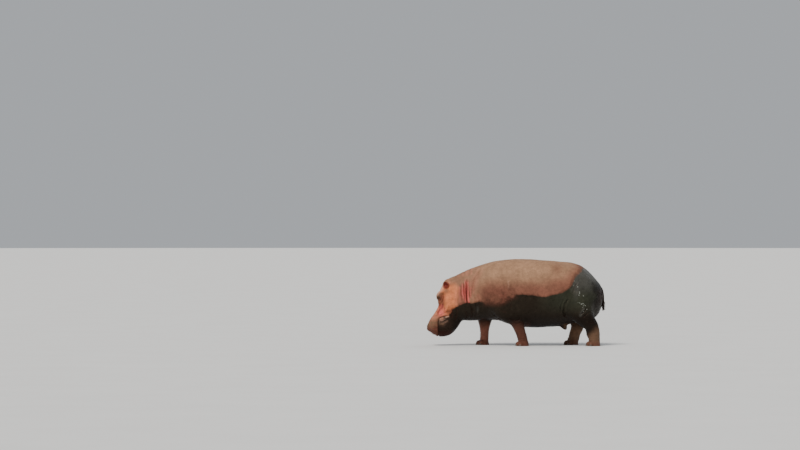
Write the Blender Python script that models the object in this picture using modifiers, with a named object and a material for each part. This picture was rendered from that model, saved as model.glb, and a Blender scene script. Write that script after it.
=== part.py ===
"""A bull hippopotamus walking with its head low: a still, life-size model in named solids.

The animal faces -X with its left side towards -Y, and stands on Z = 0. Its whole flesh is modelled
first, as lofts and ellipsoids merged into one skin, and thin cuts then part it into the pieces that
a person would name. Eyes and toenails are solids of their own, seated in the flesh.
"""

import math

import bmesh
import bpy
import numpy as np
from mathutils import Matrix, Vector

# Driving dimensions, in metres.
BACK_HEIGHT = 1.46
TRUNK_LENGTH = 2.61  # rump to nape
BARREL_WIDTH = 1.09
RUMP_X = 1.456
HEAD_LENGTH = 1.052  # from inside the neck to the lips
HEAD_PITCH = math.radians(76)  # how steeply the face hangs below the horizon
POLL = Vector((-1.178, 0.0, 1.059))
EYE_RADIUS = 0.027
CUT = 0.0006  # width of the cuts that part the flesh
SEAT_GAP = 0.0004  # clearance round what is seated in the flesh

# Mesh fineness.
VOXEL = 0.0125
LIGHT_PASSES, FACE_PASSES, BODY_PASSES = 4, 20, 70  # smoothing of everything, the face, the trunk
FLESH_TRIANGLES = 4200
KEPT_DETAIL = 0.10  # how much the face and the feet are spared when the mesh is thinned
RINGS, AROUND = 64, 64

NOSEWARD = Vector((-math.cos(HEAD_PITCH), 0.0, -math.sin(HEAD_PITCH)))
CROWNWARD = Vector((-math.sin(HEAD_PITCH), 0.0, math.cos(HEAD_PITCH)))
LEFT, RIGHT = -1, 1

# Trunk and neck, from rump to nape: share of the length, then back and belly as shares of the
# height, then width as a share of the barrel's.
TRUNK = (
    (0.000, 0.590, 0.590, 0.00),
    (0.014, 0.698, 0.410, 0.36),
    (0.041, 0.768, 0.335, 0.58),
    (0.075, 0.836, 0.300, 0.715),
    (0.110, 0.890, 0.286, 0.80),
    (0.148, 0.930, 0.272, 0.86),
    (0.206, 0.962, 0.252, 0.915),
    (0.275, 0.979, 0.228, 0.96),
    (0.355, 0.991, 0.214, 0.99),
    (0.440, 0.998, 0.205, 1.00),
    (0.524, 1.003, 0.212, 0.985),
    (0.620, 1.000, 0.256, 0.93),
    (0.689, 0.988, 0.296, 0.86),
    (0.739, 0.966, 0.292, 0.80),
    (0.797, 0.932, 0.288, 0.715),
    (0.854, 0.898, 0.281, 0.63),
    (0.912, 0.854, 0.290, 0.56),
    (0.965, 0.800, 0.350, 0.48),
    (1.000, 0.740, 0.480, 0.30),
)

# Head, from inside the neck to the lips: distance from the poll, forehead, chin and widest level
# across the face's own axis, then half widths of the upper and the lower face.
HEAD = (
    (-0.140, -0.080, -0.320, -0.20, 0.120, 0.150),
    (-0.050, 0.016, -0.370, -0.20, 0.180, 0.205),
    (0.060, 0.056, -0.405, -0.18, 0.200, 0.240),
    (0.160, 0.074, -0.420, -0.16, 0.204, 0.255),
    (0.250, 0.072, -0.428, -0.14, 0.192, 0.258),
    (0.350, 0.036, -0.430, -0.12, 0.168, 0.250),
    (0.450, 0.055, -0.424, -0.10, 0.156, 0.236),
    (0.550, 0.084, -0.405, -0.06, 0.172, 0.226),
    (0.650, 0.124, -0.378, -0.03, 0.210, 0.220),
    (0.740, 0.146, -0.340, -0.03, 0.238, 0.214),
    (0.820, 0.116, -0.286, -0.04, 0.232, 0.194),
    (0.885, 0.046, -0.190, -0.06, 0.178, 0.145),
    (0.912, -0.075, -0.075, -0.075, 0.000, 0.000),
)

# Legs, from inside the body to the sole: x, distance from the mid plane, z, then half sizes fore
# and aft and across.
FORELEG_NEAR = (
    (-0.36, 0.26, 0.86, 0.26, 0.17),
    (-0.20, 0.32, 0.62, 0.200, 0.150),
    (-0.018, 0.325, 0.43, 0.124, 0.128),
    (0.032, 0.315, 0.31, 0.098, 0.103),
    (0.072, 0.300, 0.19, 0.084, 0.086),
    (0.096, 0.292, 0.10, 0.083, 0.088),
    (0.104, 0.288, 0.04, 0.092, 0.104),
    (0.106, 0.288, -0.02, 0.100, 0.114),
)
FORELEG_FAR = (
    (-0.44, 0.26, 0.86, 0.24, 0.17),
    (-0.50, 0.32, 0.62, 0.190, 0.150),
    (-0.530, 0.315, 0.43, 0.132, 0.122),
    (-0.533, 0.300, 0.31, 0.094, 0.098),
    (-0.535, 0.285, 0.19, 0.074, 0.083),
    (-0.540, 0.280, 0.10, 0.074, 0.086),
    (-0.548, 0.278, 0.04, 0.090, 0.104),
    (-0.550, 0.278, -0.02, 0.100, 0.114),
)
HINDLEG_NEAR = (
    (1.02, 0.25, 0.90, 0.32, 0.22),
    (1.060, 0.32, 0.64, 0.250, 0.172),
    (1.150, 0.325, 0.46, 0.160, 0.135),
    (1.262, 0.32, 0.325, 0.118, 0.106),
    (1.280, 0.31, 0.22, 0.116, 0.096),
    (1.300, 0.305, 0.11, 0.096, 0.093),
    (1.300, 0.302, 0.04, 0.100, 0.108),
    (1.298, 0.302, -0.02, 0.108, 0.118),
)
HINDLEG_FAR = (
    (0.98, 0.25, 0.90, 0.30, 0.22),
    (1.00, 0.32, 0.64, 0.240, 0.172),
    (1.045, 0.325, 0.46, 0.166, 0.132),
    (1.050, 0.32, 0.325, 0.116, 0.104),
    (1.015, 0.31, 0.22, 0.098, 0.090),
    (0.985, 0.305, 0.11, 0.094, 0.090),
    (0.965, 0.302, 0.04, 0.102, 0.108),
    (0.958, 0.302, -0.02, 0.110, 0.118),
)
LEGS = {
    "foreleg_left": (FORELEG_NEAR, LEFT),
    "foreleg_right": (FORELEG_FAR, RIGHT),
    "hindleg_left": (HINDLEG_NEAR, LEFT),
    "hindleg_right": (HINDLEG_FAR, RIGHT),
}

# Tail, from inside the rump to the tip: x, z, half sizes across the body and fore and aft.
TAIL = (
    (1.360, 1.000, 0.046, 0.046),
    (1.418, 0.950, 0.042, 0.042),
    (1.447, 0.870, 0.038, 0.035),
    (1.457, 0.790, 0.034, 0.029),
    (1.460, 0.710, 0.030, 0.023),
    (1.459, 0.650, 0.024, 0.017),
    (1.456, 0.612, 0.012, 0.008),
)

TOE_ANGLES = tuple(math.radians(a) for a in (-60, -20, 20, 60))
TOE = Vector((0.060, 0.041, 0.050))  # half sizes: outward, across, upright
TOE_REACH, TOE_LEVEL = 0.80, 0.028
NAIL = Vector((0.011, 0.021, 0.019))

# Masses on each side of the face: place along, across and towards the crown, then half sizes.
FACE_MASSES = (
    ("orbit", (0.242, 0.146, 0.050), (0.090, 0.062, 0.076)),
    ("brow", (0.165, 0.112, 0.006), (0.150, 0.062, 0.080)),
    ("crown", (0.060, 0.095, -0.020), (0.140, 0.090, 0.088)),
    ("tear", (0.322, 0.132, 0.014), (0.095, 0.054, 0.062)),
    ("snout", (0.380, 0.088, -0.030), (0.180, 0.066, 0.086)),
    ("cheek", (0.310, 0.142, -0.100), (0.200, 0.084, 0.120)),
    ("nostril", (0.795, 0.088, 0.090), (0.080, 0.060, 0.060)),
    ("tusk", (0.735, 0.166, 0.000), (0.120, 0.080, 0.112)),
)

# The mouth's opening and the jaw's rear edge, as places along and across the face.
JAW_OUTLINE = (
    (0.990, -0.075),
    (0.860, -0.068),
    (0.760, -0.034),
    (0.680, -0.018),
    (0.620, -0.024),
    (0.570, -0.070),
    (0.540, -0.150),
    (0.505, -0.260),
    (0.455, -0.380),
    (0.410, -0.520),
    (0.990, -0.520),
)

# What parts the flesh across: a point on each plane, and the direction that it faces.
HEAD_PLANE = (Vector((-1.000, 0, 0.765)), Vector((0.955, 0, 0.296)))
NECK_PLANE = (Vector((-0.645, 0, 0.900)), Vector((0.981, 0, -0.192)))

# Colour, roughness and slot of each kind of piece.
HIDE_DRY = ((0.42, 0.25, 0.17), 0.62)
HIDE_WET = ((0.045, 0.040, 0.034), 0.30)
HIDE_LEG = ((0.19, 0.10, 0.075), 0.42)
EAR_SKIN = ((0.36, 0.14, 0.10), 0.55)
EYE_DARK = ((0.020, 0.010, 0.006), 0.08)
NAIL_HORN = ((0.10, 0.075, 0.055), 0.45)
LOOKS = {
    "head": HIDE_DRY,
    "neck": HIDE_DRY,
    "trunk": HIDE_DRY,
    "lower_jaw": HIDE_WET,
    "tail": HIDE_WET,
    "foreleg": HIDE_LEG,
    "hindleg": HIDE_LEG,
    "ear": EAR_SKIN,
    "eye": EYE_DARK,
    "nail": NAIL_HORN,
}


def head_point(along, side, crown):
    """A place on the head: along the face from the poll, sideways, and towards the crown."""
    return POLL + along * NOSEWARD + Vector((0, side, 0)) + crown * CROWNWARD


def smooth_through(knots, values, at):
    """Cubic curves through the values at the knots that never overshoot them, read at each place."""
    knots, values = np.asarray(knots, float), np.asarray(values, float)
    step = np.diff(knots)[:, None]
    slope = np.diff(values, axis=0) / step
    before, after = slope[:-1], slope[1:]
    w1, w2 = 2 * step[1:] + step[:-1], step[1:] + 2 * step[:-1]
    steady = before * after > 0
    safe_before, safe_after = np.where(steady, before, 1), np.where(steady, after, 1)
    middle = np.where(steady, (w1 + w2) / (w1 / safe_before + w2 / safe_after), 0)
    tangent = np.concatenate([slope[:1], middle, slope[-1:]])
    i = np.clip(np.searchsorted(knots, at) - 1, 0, len(knots) - 2)
    h = step[i]
    t = ((at - knots[i])[:, None]) / h
    return (
        (2 * t**3 - 3 * t**2 + 1) * values[i]
        + (t**3 - 2 * t**2 + t) * h * tangent[i]
        + (3 * t**2 - 2 * t**3) * values[i + 1]
        + (t**3 - t**2) * h * tangent[i + 1]
    )


def link(name, mesh):
    piece = bpy.data.objects.new(name, mesh)
    bpy.context.scene.collection.objects.link(piece)
    return piece


def skin_rings(name, rings):
    """A closed mesh through rings of points, each ring the same length, with fans over both ends."""
    count, around = rings.shape[:2]
    points = np.concatenate([rings.reshape(-1, 3), rings[[0, -1]].mean(axis=1)])
    ring, spoke = np.meshgrid(np.arange(count - 1), np.arange(around), indexing="ij")
    here, there = ring * around, (ring + 1) * around
    beside = (spoke + 1) % around
    sides = np.stack([here + spoke, here + beside, there + beside, there + spoke], axis=-1)
    turn = np.arange(around)
    next_turn = (turn + 1) % around
    first, last = len(points) - 2, len(points) - 1
    start = np.stack([next_turn, turn, np.full(around, first)], axis=1)
    final = (count - 1) * around
    end = np.stack([final + turn, final + next_turn, np.full(around, last)], axis=1)
    mesh = bpy.data.meshes.new(name)
    mesh.from_pydata(points.tolist(), [], sides.reshape(-1, 4).tolist() + start.tolist() + end.tolist())
    mesh.update()
    shell = bmesh.new()
    shell.from_mesh(mesh)
    bmesh.ops.remove_doubles(shell, verts=shell.verts, dist=1e-6)
    bmesh.ops.recalc_face_normals(shell, faces=shell.faces)
    bmesh.ops.triangulate(shell, faces=shell.faces, quad_method="FIXED")
    shell.to_mesh(mesh)
    shell.free()
    return link(name, mesh)


def rounded(angle, power):
    """Cosine and sine round a superellipse, which is boxier the higher the power."""
    c, s = np.cos(angle), np.sin(angle)
    return np.sign(c) * np.abs(c) ** (2 / power), np.sign(s) * np.abs(s) ** (2 / power)


def make_trunk():
    """Trunk and neck: upright sections whose spacing tightens towards the rump, so that it ends round."""
    table = np.array(TRUNK)
    reach = np.linspace(0, 1, RINGS)
    back, belly, width = smooth_through(np.sqrt(table[:, 0]), table[:, 1:], reach).T[..., None]
    x = RUMP_X - TRUNK_LENGTH * reach[:, None] ** 2
    angle = np.linspace(0, 2 * math.pi, AROUND, endpoint=False)
    across, upright = rounded(angle, 2.2)
    middle = BACK_HEIGHT * (back + belly) / 2
    y = BARREL_WIDTH / 2 * width * across
    z = middle + BACK_HEIGHT * (back - belly) / 2 * upright
    points = np.stack(np.broadcast_arrays(x, y, z), axis=-1)
    return skin_rings("trunk", points)


def make_head():
    """Face and jaw: sections across the face, wide at the lips and the jaw's angle, narrow between."""
    table = np.array(HEAD)
    ahead = table[-1, 0] - table[:, 0]
    reach = np.linspace(0, 1, RINGS)
    knots = np.sqrt(ahead / HEAD_LENGTH)[::-1]
    rows = smooth_through(knots, table[::-1, 1:], reach)
    crown, chin, level, upper, lower = rows.T[..., None]
    along = table[-1, 0] - HEAD_LENGTH * reach[:, None] ** 2
    angle = np.linspace(0, 2 * math.pi, AROUND, endpoint=False)
    across, upright = rounded(angle, 2.5)
    blend = 0.5 + 0.5 * np.tanh(3 * upright)
    side = (lower + (upper - lower) * blend) * across
    height = level + np.where(upright > 0, crown - level, level - chin) * upright
    points = (
        np.array(POLL)
        + along[..., None] * np.array(NOSEWARD)
        + side[..., None] * np.array((0, 1, 0))
        + height[..., None] * np.array(CROWNWARD)
    )
    return skin_rings("head", points)


def sweep(name, path, forward_size, side_size, rings=RINGS // 2, around=AROUND // 2, extra=0.0):
    """A limb with elliptical sections square to a path of points, all set out by the extra."""
    path = np.array(path, float)
    chord = np.linalg.norm(np.diff(path, axis=0), axis=1)
    knots = np.concatenate([[0], np.cumsum(chord)])
    path[0] += (path[0] - path[1]) / chord[0] * extra
    path[-1] += (path[-1] - path[-2]) / chord[-1] * extra
    table = np.column_stack([path, np.asarray(forward_size) + extra, np.asarray(side_size) + extra])
    rows = smooth_through(knots, table, np.linspace(0, knots[-1], rings))
    centre, fore, broad = rows[:, :3], rows[:, 3:4], rows[:, 4:5]
    tangent = np.gradient(centre, axis=0)
    tangent /= np.linalg.norm(tangent, axis=1, keepdims=True)
    sideways = np.cross(tangent, np.broadcast_to((1.0, 0, 0), tangent.shape))
    sideways /= np.linalg.norm(sideways, axis=1, keepdims=True)
    forward = np.cross(sideways, tangent)
    angle = np.linspace(0, 2 * math.pi, around, endpoint=False)[None, :, None]
    ring = forward[:, None] * (fore[:, None] * np.cos(angle))
    ring = ring + sideways[:, None] * (broad[:, None] * np.sin(angle))
    return skin_rings(name, centre[:, None] + ring)


def make_leg(name, stations, side):
    table = np.array(stations)
    path = table[:, :3] * (1, side, 1)
    return sweep(name, path, table[:, 3], table[:, 4])


def leg_region(stations, side, extra=0.0):
    """A closed bowl round one leg, which reaches up its outer side to the shoulder or the thigh."""
    x, y, z, fore, broad = np.array(stations).T
    rows = [1, 2, 3, 5, 7]
    outward = np.array([0.130, 0.045, 0.0, 0.0, 0.0])
    ahead_margin = np.array([0.010, 0.015, 0.035, 0.080, 0.060])
    side_margin = np.array([0.020, 0.045, 0.075, 0.090, 0.060])
    path = np.column_stack([x[rows], side * (y[rows] + outward), z[rows]])
    above = path[0] + (path[0] - path[1]) * 0.45 + (0, side * 0.05, 0)
    below = path[-1] - (0, 0, 0.10)
    path = np.vstack([above, path, below])
    length = np.concatenate([[0.35 * fore[1]], fore[rows] + ahead_margin, [fore[-1] + 0.06]])
    breadth = np.concatenate([[0.45 * broad[1]], broad[rows] + side_margin, [broad[-1] + 0.06]])
    return sweep("region", path, length, breadth, rings=6, around=14, extra=extra)


def make_tail(extra=0.0):
    table = np.array(TAIL)
    path = np.column_stack([table[:, 0], np.zeros(len(table)), table[:, 1]])
    return sweep("tail", path, table[:, 3], table[:, 2], rings=12, around=10, extra=extra)


def ellipsoid(name, centre, sizes, turn=None, segments=24, spin=0.0):
    """A sphere primitive, spun by an angle, stretched to three half sizes, then turned and placed."""
    mesh = bpy.data.meshes.new(name)
    shell = bmesh.new()
    bmesh.ops.create_uvsphere(shell, u_segments=segments, v_segments=segments // 2, radius=1)
    stretch = Matrix.Diagonal((*sizes, 1)) @ Matrix.Rotation(spin, 4, (0.6, 0.0, 0.8))
    frame = Matrix.Translation(centre) @ (turn or Matrix.Identity(4)) @ stretch
    bmesh.ops.transform(shell, matrix=frame, verts=shell.verts)
    bmesh.ops.recalc_face_normals(shell, faces=shell.faces)
    shell.to_mesh(mesh)
    shell.free()
    return link(name, mesh)


def box(name, centre, sizes, turn=None):
    """A cube primitive with three full sizes, turned and placed."""
    mesh = bpy.data.meshes.new(name)
    shell = bmesh.new()
    bmesh.ops.create_cube(shell, size=1)
    frame = Matrix.Translation(centre) @ (turn or Matrix.Identity(4)) @ Matrix.Diagonal((*sizes, 1))
    bmesh.ops.transform(shell, matrix=frame, verts=shell.verts)
    bmesh.ops.recalc_face_normals(shell, faces=shell.faces)
    shell.to_mesh(mesh)
    shell.free()
    return link(name, mesh)


def axes_matrix(x, y, z):
    return Matrix((x, y, z)).transposed().to_4x4()


HEAD_TURN = axes_matrix(NOSEWARD, Vector((0, 1, 0)), CROWNWARD)


def toe_frames(stations):
    """For each toe, its outward direction and the middle of the toe, for a foot on the right."""
    x, y, _, fore, broad = stations[-1]
    for angle in TOE_ANGLES:
        outward = Vector((-math.cos(angle), math.sin(angle), 0))
        reach = Vector((outward.x * fore, outward.y * broad, 0)) * TOE_REACH
        yield outward, Vector((x, y, TOE_LEVEL)) + reach


def mirrored(vector, side):
    return Vector((vector.x, side * vector.y, vector.z))


def toe_turn(outward):
    return axes_matrix(outward, Vector((0, 0, 1)).cross(outward), Vector((0, 0, 1)))


def make_toes(name, stations, side):
    toes = []
    for outward, centre in toe_frames(stations):
        turn = toe_turn(mirrored(outward, side))
        toes.append(ellipsoid(f"{name}_toe", mirrored(centre, side), TOE, turn, 16))
    return toes


def make_nail(name, outward, toe_centre, side, extra=0.0):
    """A blunt oval hoof at the tip of a toe, half sunk in the flesh."""
    place = toe_centre + outward * (TOE.x - 0.006) + Vector((0, 0, 0.004))
    sizes = NAIL + Vector((extra, extra, extra))
    return ellipsoid(name, mirrored(place, side), sizes, toe_turn(mirrored(outward, side)), 8)


def ear_frame(side):
    """The ear's root on the corner of the crown, and its turn: across, towards its opening, up."""
    root = head_point(0.088, side * 0.158, -0.006)
    upward = Vector((-0.16, side * 0.46, 0.87)).normalized()
    opening = Vector((-0.42, side * 0.90, 0))
    opening = (opening - opening.dot(upward) * upward).normalized()
    return root, axes_matrix(upward.cross(opening), opening, upward)


def make_ear(name, side, extra=0.0):
    """A rounded cup on a short stalk, leaning out and back."""
    root, turn = ear_frame(side)
    up, opening = turn.col[2].to_3d(), turn.col[1].to_3d()
    grow = Vector((extra, extra, extra))
    ear = ellipsoid(name, root + up * 0.068, Vector((0.045, 0.023, 0.058)) + grow, turn, 14)
    stalk = ellipsoid("stalk", root + up * 0.014, Vector((0.030, 0.024, 0.042)) + grow, turn, 8, spin=0.35)
    cut(ear, stalk, "UNION")
    if extra == 0:
        hollow = ellipsoid("hollow", root + up * 0.073 + opening * 0.017, (0.033, 0.025, 0.045), turn, 10, spin=0.7)
        cut(ear, hollow, "DIFFERENCE")
    return ear


def make_eye(name, side, extra=0.0):
    centre = head_point(0.268, side * 0.178, 0.082)
    radius = EYE_RADIUS + extra
    return ellipsoid(name, centre, (radius, radius, radius), HEAD_TURN, 12)


def cut(piece, tool, operation, keep_tool=False):
    """Booleans the tool into the piece, and removes the tool unless it's kept."""
    modifier = piece.modifiers.new("Cut", "BOOLEAN")
    modifier.operation = operation
    modifier.solver = "EXACT"
    modifier.object = tool
    baked(piece)
    if not keep_tool:
        bpy.data.objects.remove(tool)


def copy_of(piece, name):
    twin = piece.copy()
    twin.data = piece.data.copy()
    twin.name = name
    bpy.context.scene.collection.objects.link(twin)
    return twin


def parted(flesh, name, region, grown_region):
    """Takes what lies in the region out of the flesh, as a new piece, and leaves a thin gap."""
    piece = copy_of(flesh, name)
    cut(piece, region, "INTERSECT")
    cut(flesh, grown_region, "DIFFERENCE")
    return piece


def half_space(plane, shift):
    """A big box behind a plane, moved along the plane's direction."""
    point, facing = plane
    facing = facing.normalized()
    turn = axes_matrix(facing, Vector((0, 1, 0)), facing.cross(Vector((0, 1, 0))))
    return box("half_space", point + facing * (shift - 1.0), (2, 4, 4), turn)


def jaw_region(extra=0.0):
    """The prism under the mouth's line, set out from its outline by the extra."""
    outline = np.array(JAW_OUTLINE)
    ahead = np.roll(outline, -1, axis=0) - outline
    ahead /= np.linalg.norm(ahead, axis=1, keepdims=True)
    behind = np.roll(ahead, 1, axis=0)
    normal = np.column_stack([ahead[:, 1], -ahead[:, 0]]) + np.column_stack([behind[:, 1], -behind[:, 0]])
    miter = normal / (1 + (ahead * behind).sum(axis=1, keepdims=True))
    outline = outline + miter * extra
    mesh = bpy.data.meshes.new("jaw_region")
    shell = bmesh.new()
    corners = [shell.verts.new(head_point(a, -0.5, c)) for a, c in outline.tolist()]
    face = shell.faces.new(corners)
    swept = bmesh.ops.extrude_face_region(shell, geom=[face])["geom"]
    moved = [item for item in swept if isinstance(item, bmesh.types.BMVert)]
    bmesh.ops.translate(shell, verts=moved, vec=(0, 1, 0))
    bmesh.ops.recalc_face_normals(shell, faces=shell.faces)
    shell.to_mesh(mesh)
    shell.free()
    return link("jaw_region", mesh)


def merged(name, pieces):
    """One closed skin round overlapping pieces, remeshed evenly and smoothed, most round the trunk."""
    for piece in bpy.context.selected_objects:
        piece.select_set(False)
    for piece in pieces:
        piece.select_set(True)
    bpy.context.view_layer.objects.active = pieces[0]
    bpy.ops.object.join()
    whole = pieces[0]
    whole.name = name
    remesh = whole.modifiers.new("Remesh", "REMESH")
    remesh.mode = "VOXEL"
    remesh.voxel_size = VOXEL
    baked(whole)
    body, face, spare = (whole.vertex_groups.new(name=label) for label in ("body", "face", "spare"))
    for vertex in whole.data.vertices:
        x, _, z = vertex.co
        above_feet = min(max((z - 0.20) / 0.15, 0), 1)
        behind_face = min(max((x + 1.20) / 0.16, 0), 1)
        body.add([vertex.index], above_feet * behind_face, "REPLACE")
        face.add([vertex.index], 1 - behind_face, "REPLACE")
        spare.add([vertex.index], 1 - KEPT_DETAIL * (1 - above_feet * behind_face), "REPLACE")
    stages = (("Body", BODY_PASSES, "body"), ("Face", FACE_PASSES, "face"), ("Light", LIGHT_PASSES, ""))
    for label, passes, group in stages:
        smooth = whole.modifiers.new(label, "SMOOTH")
        smooth.factor, smooth.iterations = 0.5, passes
        smooth.vertex_group = group
    reduce = whole.modifiers.new("Reduce", "DECIMATE")
    whole.data.calc_loop_triangles()
    reduce.ratio = FLESH_TRIANGLES / len(whole.data.loop_triangles)
    reduce.vertex_group = "spare"
    return baked(whole)


def baked(piece):
    """The object with its modifiers applied, as the viewport shows it."""
    bpy.context.view_layer.update()
    graph = bpy.context.evaluated_depsgraph_get()
    mesh = bpy.data.meshes.new_from_object(piece.evaluated_get(graph))
    piece.modifiers.clear()
    piece.data = mesh
    return piece


def make_flesh():
    pieces = [make_trunk(), make_head()]
    for side in (LEFT, RIGHT):
        for word, (along, across, crown), sizes in FACE_MASSES:
            pieces.append(ellipsoid(word, head_point(along, side * across, crown), sizes, HEAD_TURN))
    sheath = axes_matrix(Vector((0.64, 0, -0.77)), Vector((0, 1, 0)), Vector((0.77, 0, 0.64)))
    pieces.append(ellipsoid("sheath", Vector((0.785, 0, 0.345)), (0.105, 0.050, 0.052), sheath))
    for name, (stations, side) in LEGS.items():
        pieces.append(make_leg(name, stations, side))
        pieces += make_toes(name, stations, side)
    flesh = merged("trunk", pieces)
    cut(flesh, box("ground", Vector((0, 0, -0.5)), (6, 4, 1)), "DIFFERENCE")
    return flesh


def centre_over_origin(pieces):
    """Moves the meshes together, so that the middle of the animal's box stands over the origin."""
    corners = np.array([vertex.co for piece in pieces for vertex in piece.data.vertices])
    middle = (corners.min(axis=0) + corners.max(axis=0)) / 2
    shift = Matrix.Translation((-middle[0], -middle[1], 0))
    for piece in pieces:
        piece.data.transform(shift)


def seat(pieces, tool_for):
    """Cuts a socket for a seated solid into each piece of flesh."""
    for piece in pieces:
        cut(piece, tool_for(), "DIFFERENCE")


def main():
    for old in list(bpy.data.objects):
        bpy.data.objects.remove(old)
    flesh = make_flesh()
    built = [flesh]
    for name, (stations, side) in LEGS.items():
        leg = parted(flesh, name, leg_region(stations, side), leg_region(stations, side, CUT))
        for n, (outward, centre) in enumerate(toe_frames(stations), start=1):
            seat([leg], lambda: make_nail("socket", outward, centre, side, SEAT_GAP))
            built.append(make_nail(f"{name}_nail_{n}", outward, centre, side))
        built.append(leg)
    head = parted(flesh, "head", half_space(HEAD_PLANE, 0), half_space(HEAD_PLANE, CUT))
    neck = parted(flesh, "neck", half_space(NECK_PLANE, 0), half_space(NECK_PLANE, CUT))
    jaw = parted(head, "lower_jaw", jaw_region(), jaw_region(CUT))
    for word, side in (("left", LEFT), ("right", RIGHT)):
        seat([head, neck], lambda: make_ear("socket", side, SEAT_GAP))
        seat([head], lambda: make_eye("socket", side, SEAT_GAP))
        built += [make_ear(f"ear_{word}", side), make_eye(f"eye_{word}", side)]
    seat([flesh], lambda: make_tail(SEAT_GAP))
    built += [head, neck, jaw, make_tail()]
    centre_over_origin(built)
    animal = bpy.data.collections.new("hippopotamus")
    bpy.context.scene.collection.children.link(animal)
    for piece in built:
        finish(piece, animal)


def finish(piece, animal):
    """Moves a piece to the animal's collection and gives it its material."""
    animal.objects.link(piece)
    bpy.context.scene.collection.objects.unlink(piece)
    kind = next(k for k in LOOKS if k in piece.name and not (k != "nail" and "nail" in piece.name))
    colour, roughness = LOOKS[kind]
    material = bpy.data.materials.new(piece.name)
    material.use_nodes = True
    shader = material.node_tree.nodes["Principled BSDF"]
    shader.inputs["Base Color"].default_value = (*colour, 1)
    shader.inputs["Roughness"].default_value = roughness
    shader.inputs["Metallic"].default_value = 0
    piece.data.materials.clear()
    piece.data.materials.append(material)


main()
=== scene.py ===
import math
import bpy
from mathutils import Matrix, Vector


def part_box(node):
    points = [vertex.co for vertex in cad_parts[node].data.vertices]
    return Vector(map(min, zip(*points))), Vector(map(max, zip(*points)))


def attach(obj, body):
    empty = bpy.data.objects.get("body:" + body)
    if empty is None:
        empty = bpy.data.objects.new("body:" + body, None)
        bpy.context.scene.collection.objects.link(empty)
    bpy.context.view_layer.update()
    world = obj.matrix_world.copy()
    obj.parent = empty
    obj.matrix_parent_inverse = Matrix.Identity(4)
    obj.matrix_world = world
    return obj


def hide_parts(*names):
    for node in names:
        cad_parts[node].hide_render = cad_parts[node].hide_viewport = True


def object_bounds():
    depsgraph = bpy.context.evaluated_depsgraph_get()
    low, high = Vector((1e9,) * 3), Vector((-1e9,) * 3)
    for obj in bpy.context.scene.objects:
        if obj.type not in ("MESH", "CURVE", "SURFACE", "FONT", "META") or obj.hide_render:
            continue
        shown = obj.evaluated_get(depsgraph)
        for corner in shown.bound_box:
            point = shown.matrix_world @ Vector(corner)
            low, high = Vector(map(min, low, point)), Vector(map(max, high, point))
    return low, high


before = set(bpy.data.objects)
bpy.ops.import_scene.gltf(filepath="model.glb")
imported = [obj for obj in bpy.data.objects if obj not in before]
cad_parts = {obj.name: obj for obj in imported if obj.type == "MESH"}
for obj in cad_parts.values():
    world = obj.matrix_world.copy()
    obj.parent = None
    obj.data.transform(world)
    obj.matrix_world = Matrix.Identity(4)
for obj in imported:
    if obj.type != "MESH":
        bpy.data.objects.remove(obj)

from types import SimpleNamespace

import bpy
import numpy as np
from mathutils import Vector
from mathutils.bvhtree import BVHTree

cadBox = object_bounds()

# The face's own axes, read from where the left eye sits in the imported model.
headPitch = math.radians(76)
noseward = np.array((-math.cos(headPitch), 0.0, -math.sin(headPitch)))
crownward = np.array((-math.sin(headPitch), 0.0, math.cos(headPitch)))
sideward = np.array((0.0, 1.0, 0.0))
eyePlace = {"along": 0.268, "side": 0.178, "crown": 0.082}
eyeMiddle = np.array(sum(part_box("eye_left"), start=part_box("eye_left")[0] * 0)) / 2
poll = (
    eyeMiddle
    - eyePlace["along"] * noseward
    + eyePlace["side"] * sideward
    - eyePlace["crown"] * crownward
)
poll[1] = 0.0
lengthShift = poll[0] + 1.178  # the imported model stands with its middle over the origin
sides = (-1, 1)  # left, right


def headPoint(along, side, crown):
    # poll + along the face + sideways + towards the crown
    return poll + along * noseward + side * sideward + crown * crownward


def faceFrame(points):
    # how far each point lies along the face, sideways, and towards the crown
    offset = points - poll
    return offset @ noseward, points[:, 1], offset @ crownward


def smoothThrough(knots, values, at):
    # cubic between neighbouring knots, with harmonic mean slopes, so that it never overshoots
    knots = np.asarray(knots, float)
    values = np.asarray(values, float)
    step = np.diff(knots)[:, None]
    slope = np.diff(values, axis=0) / step
    before, after = slope[:-1], slope[1:]
    w1, w2 = 2 * step[1:] + step[:-1], step[1:] + 2 * step[:-1]
    steady = before * after > 0
    safeBefore, safeAfter = np.where(steady, before, 1), np.where(steady, after, 1)
    middle = np.where(steady, (w1 + w2) / (w1 / safeBefore + w2 / safeAfter), 0)
    tangent = np.concatenate([slope[:1], middle, slope[-1:]])
    i = np.clip(np.searchsorted(knots, at) - 1, 0, len(knots) - 2)
    h = step[i]
    t = ((at - knots[i])[:, None]) / h
    return (
        (2 * t**3 - 3 * t**2 + 1) * values[i]
        + (t**3 - 2 * t**2 + t) * h * tangent[i]
        + (3 * t**2 - 2 * t**3) * values[i + 1]
        + (t**3 - t**2) * h * tangent[i + 1]
    )


def ramp(value, low, high):
    # 0 below low, 1 above high, with an S-shaped rise between
    t = np.clip((value - low) / (high - low), 0, 1)
    return t * t * (3 - 2 * t)


def hill(value, width):
    # bell curve of a distance
    return np.exp(-((value / width) ** 2))


def unit(vector):
    # the vector over its own length
    return vector / np.linalg.norm(vector)


def unitRows(vectors):
    # each row over its own length
    return vectors / np.linalg.norm(vectors, axis=1, keepdims=True)


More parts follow.
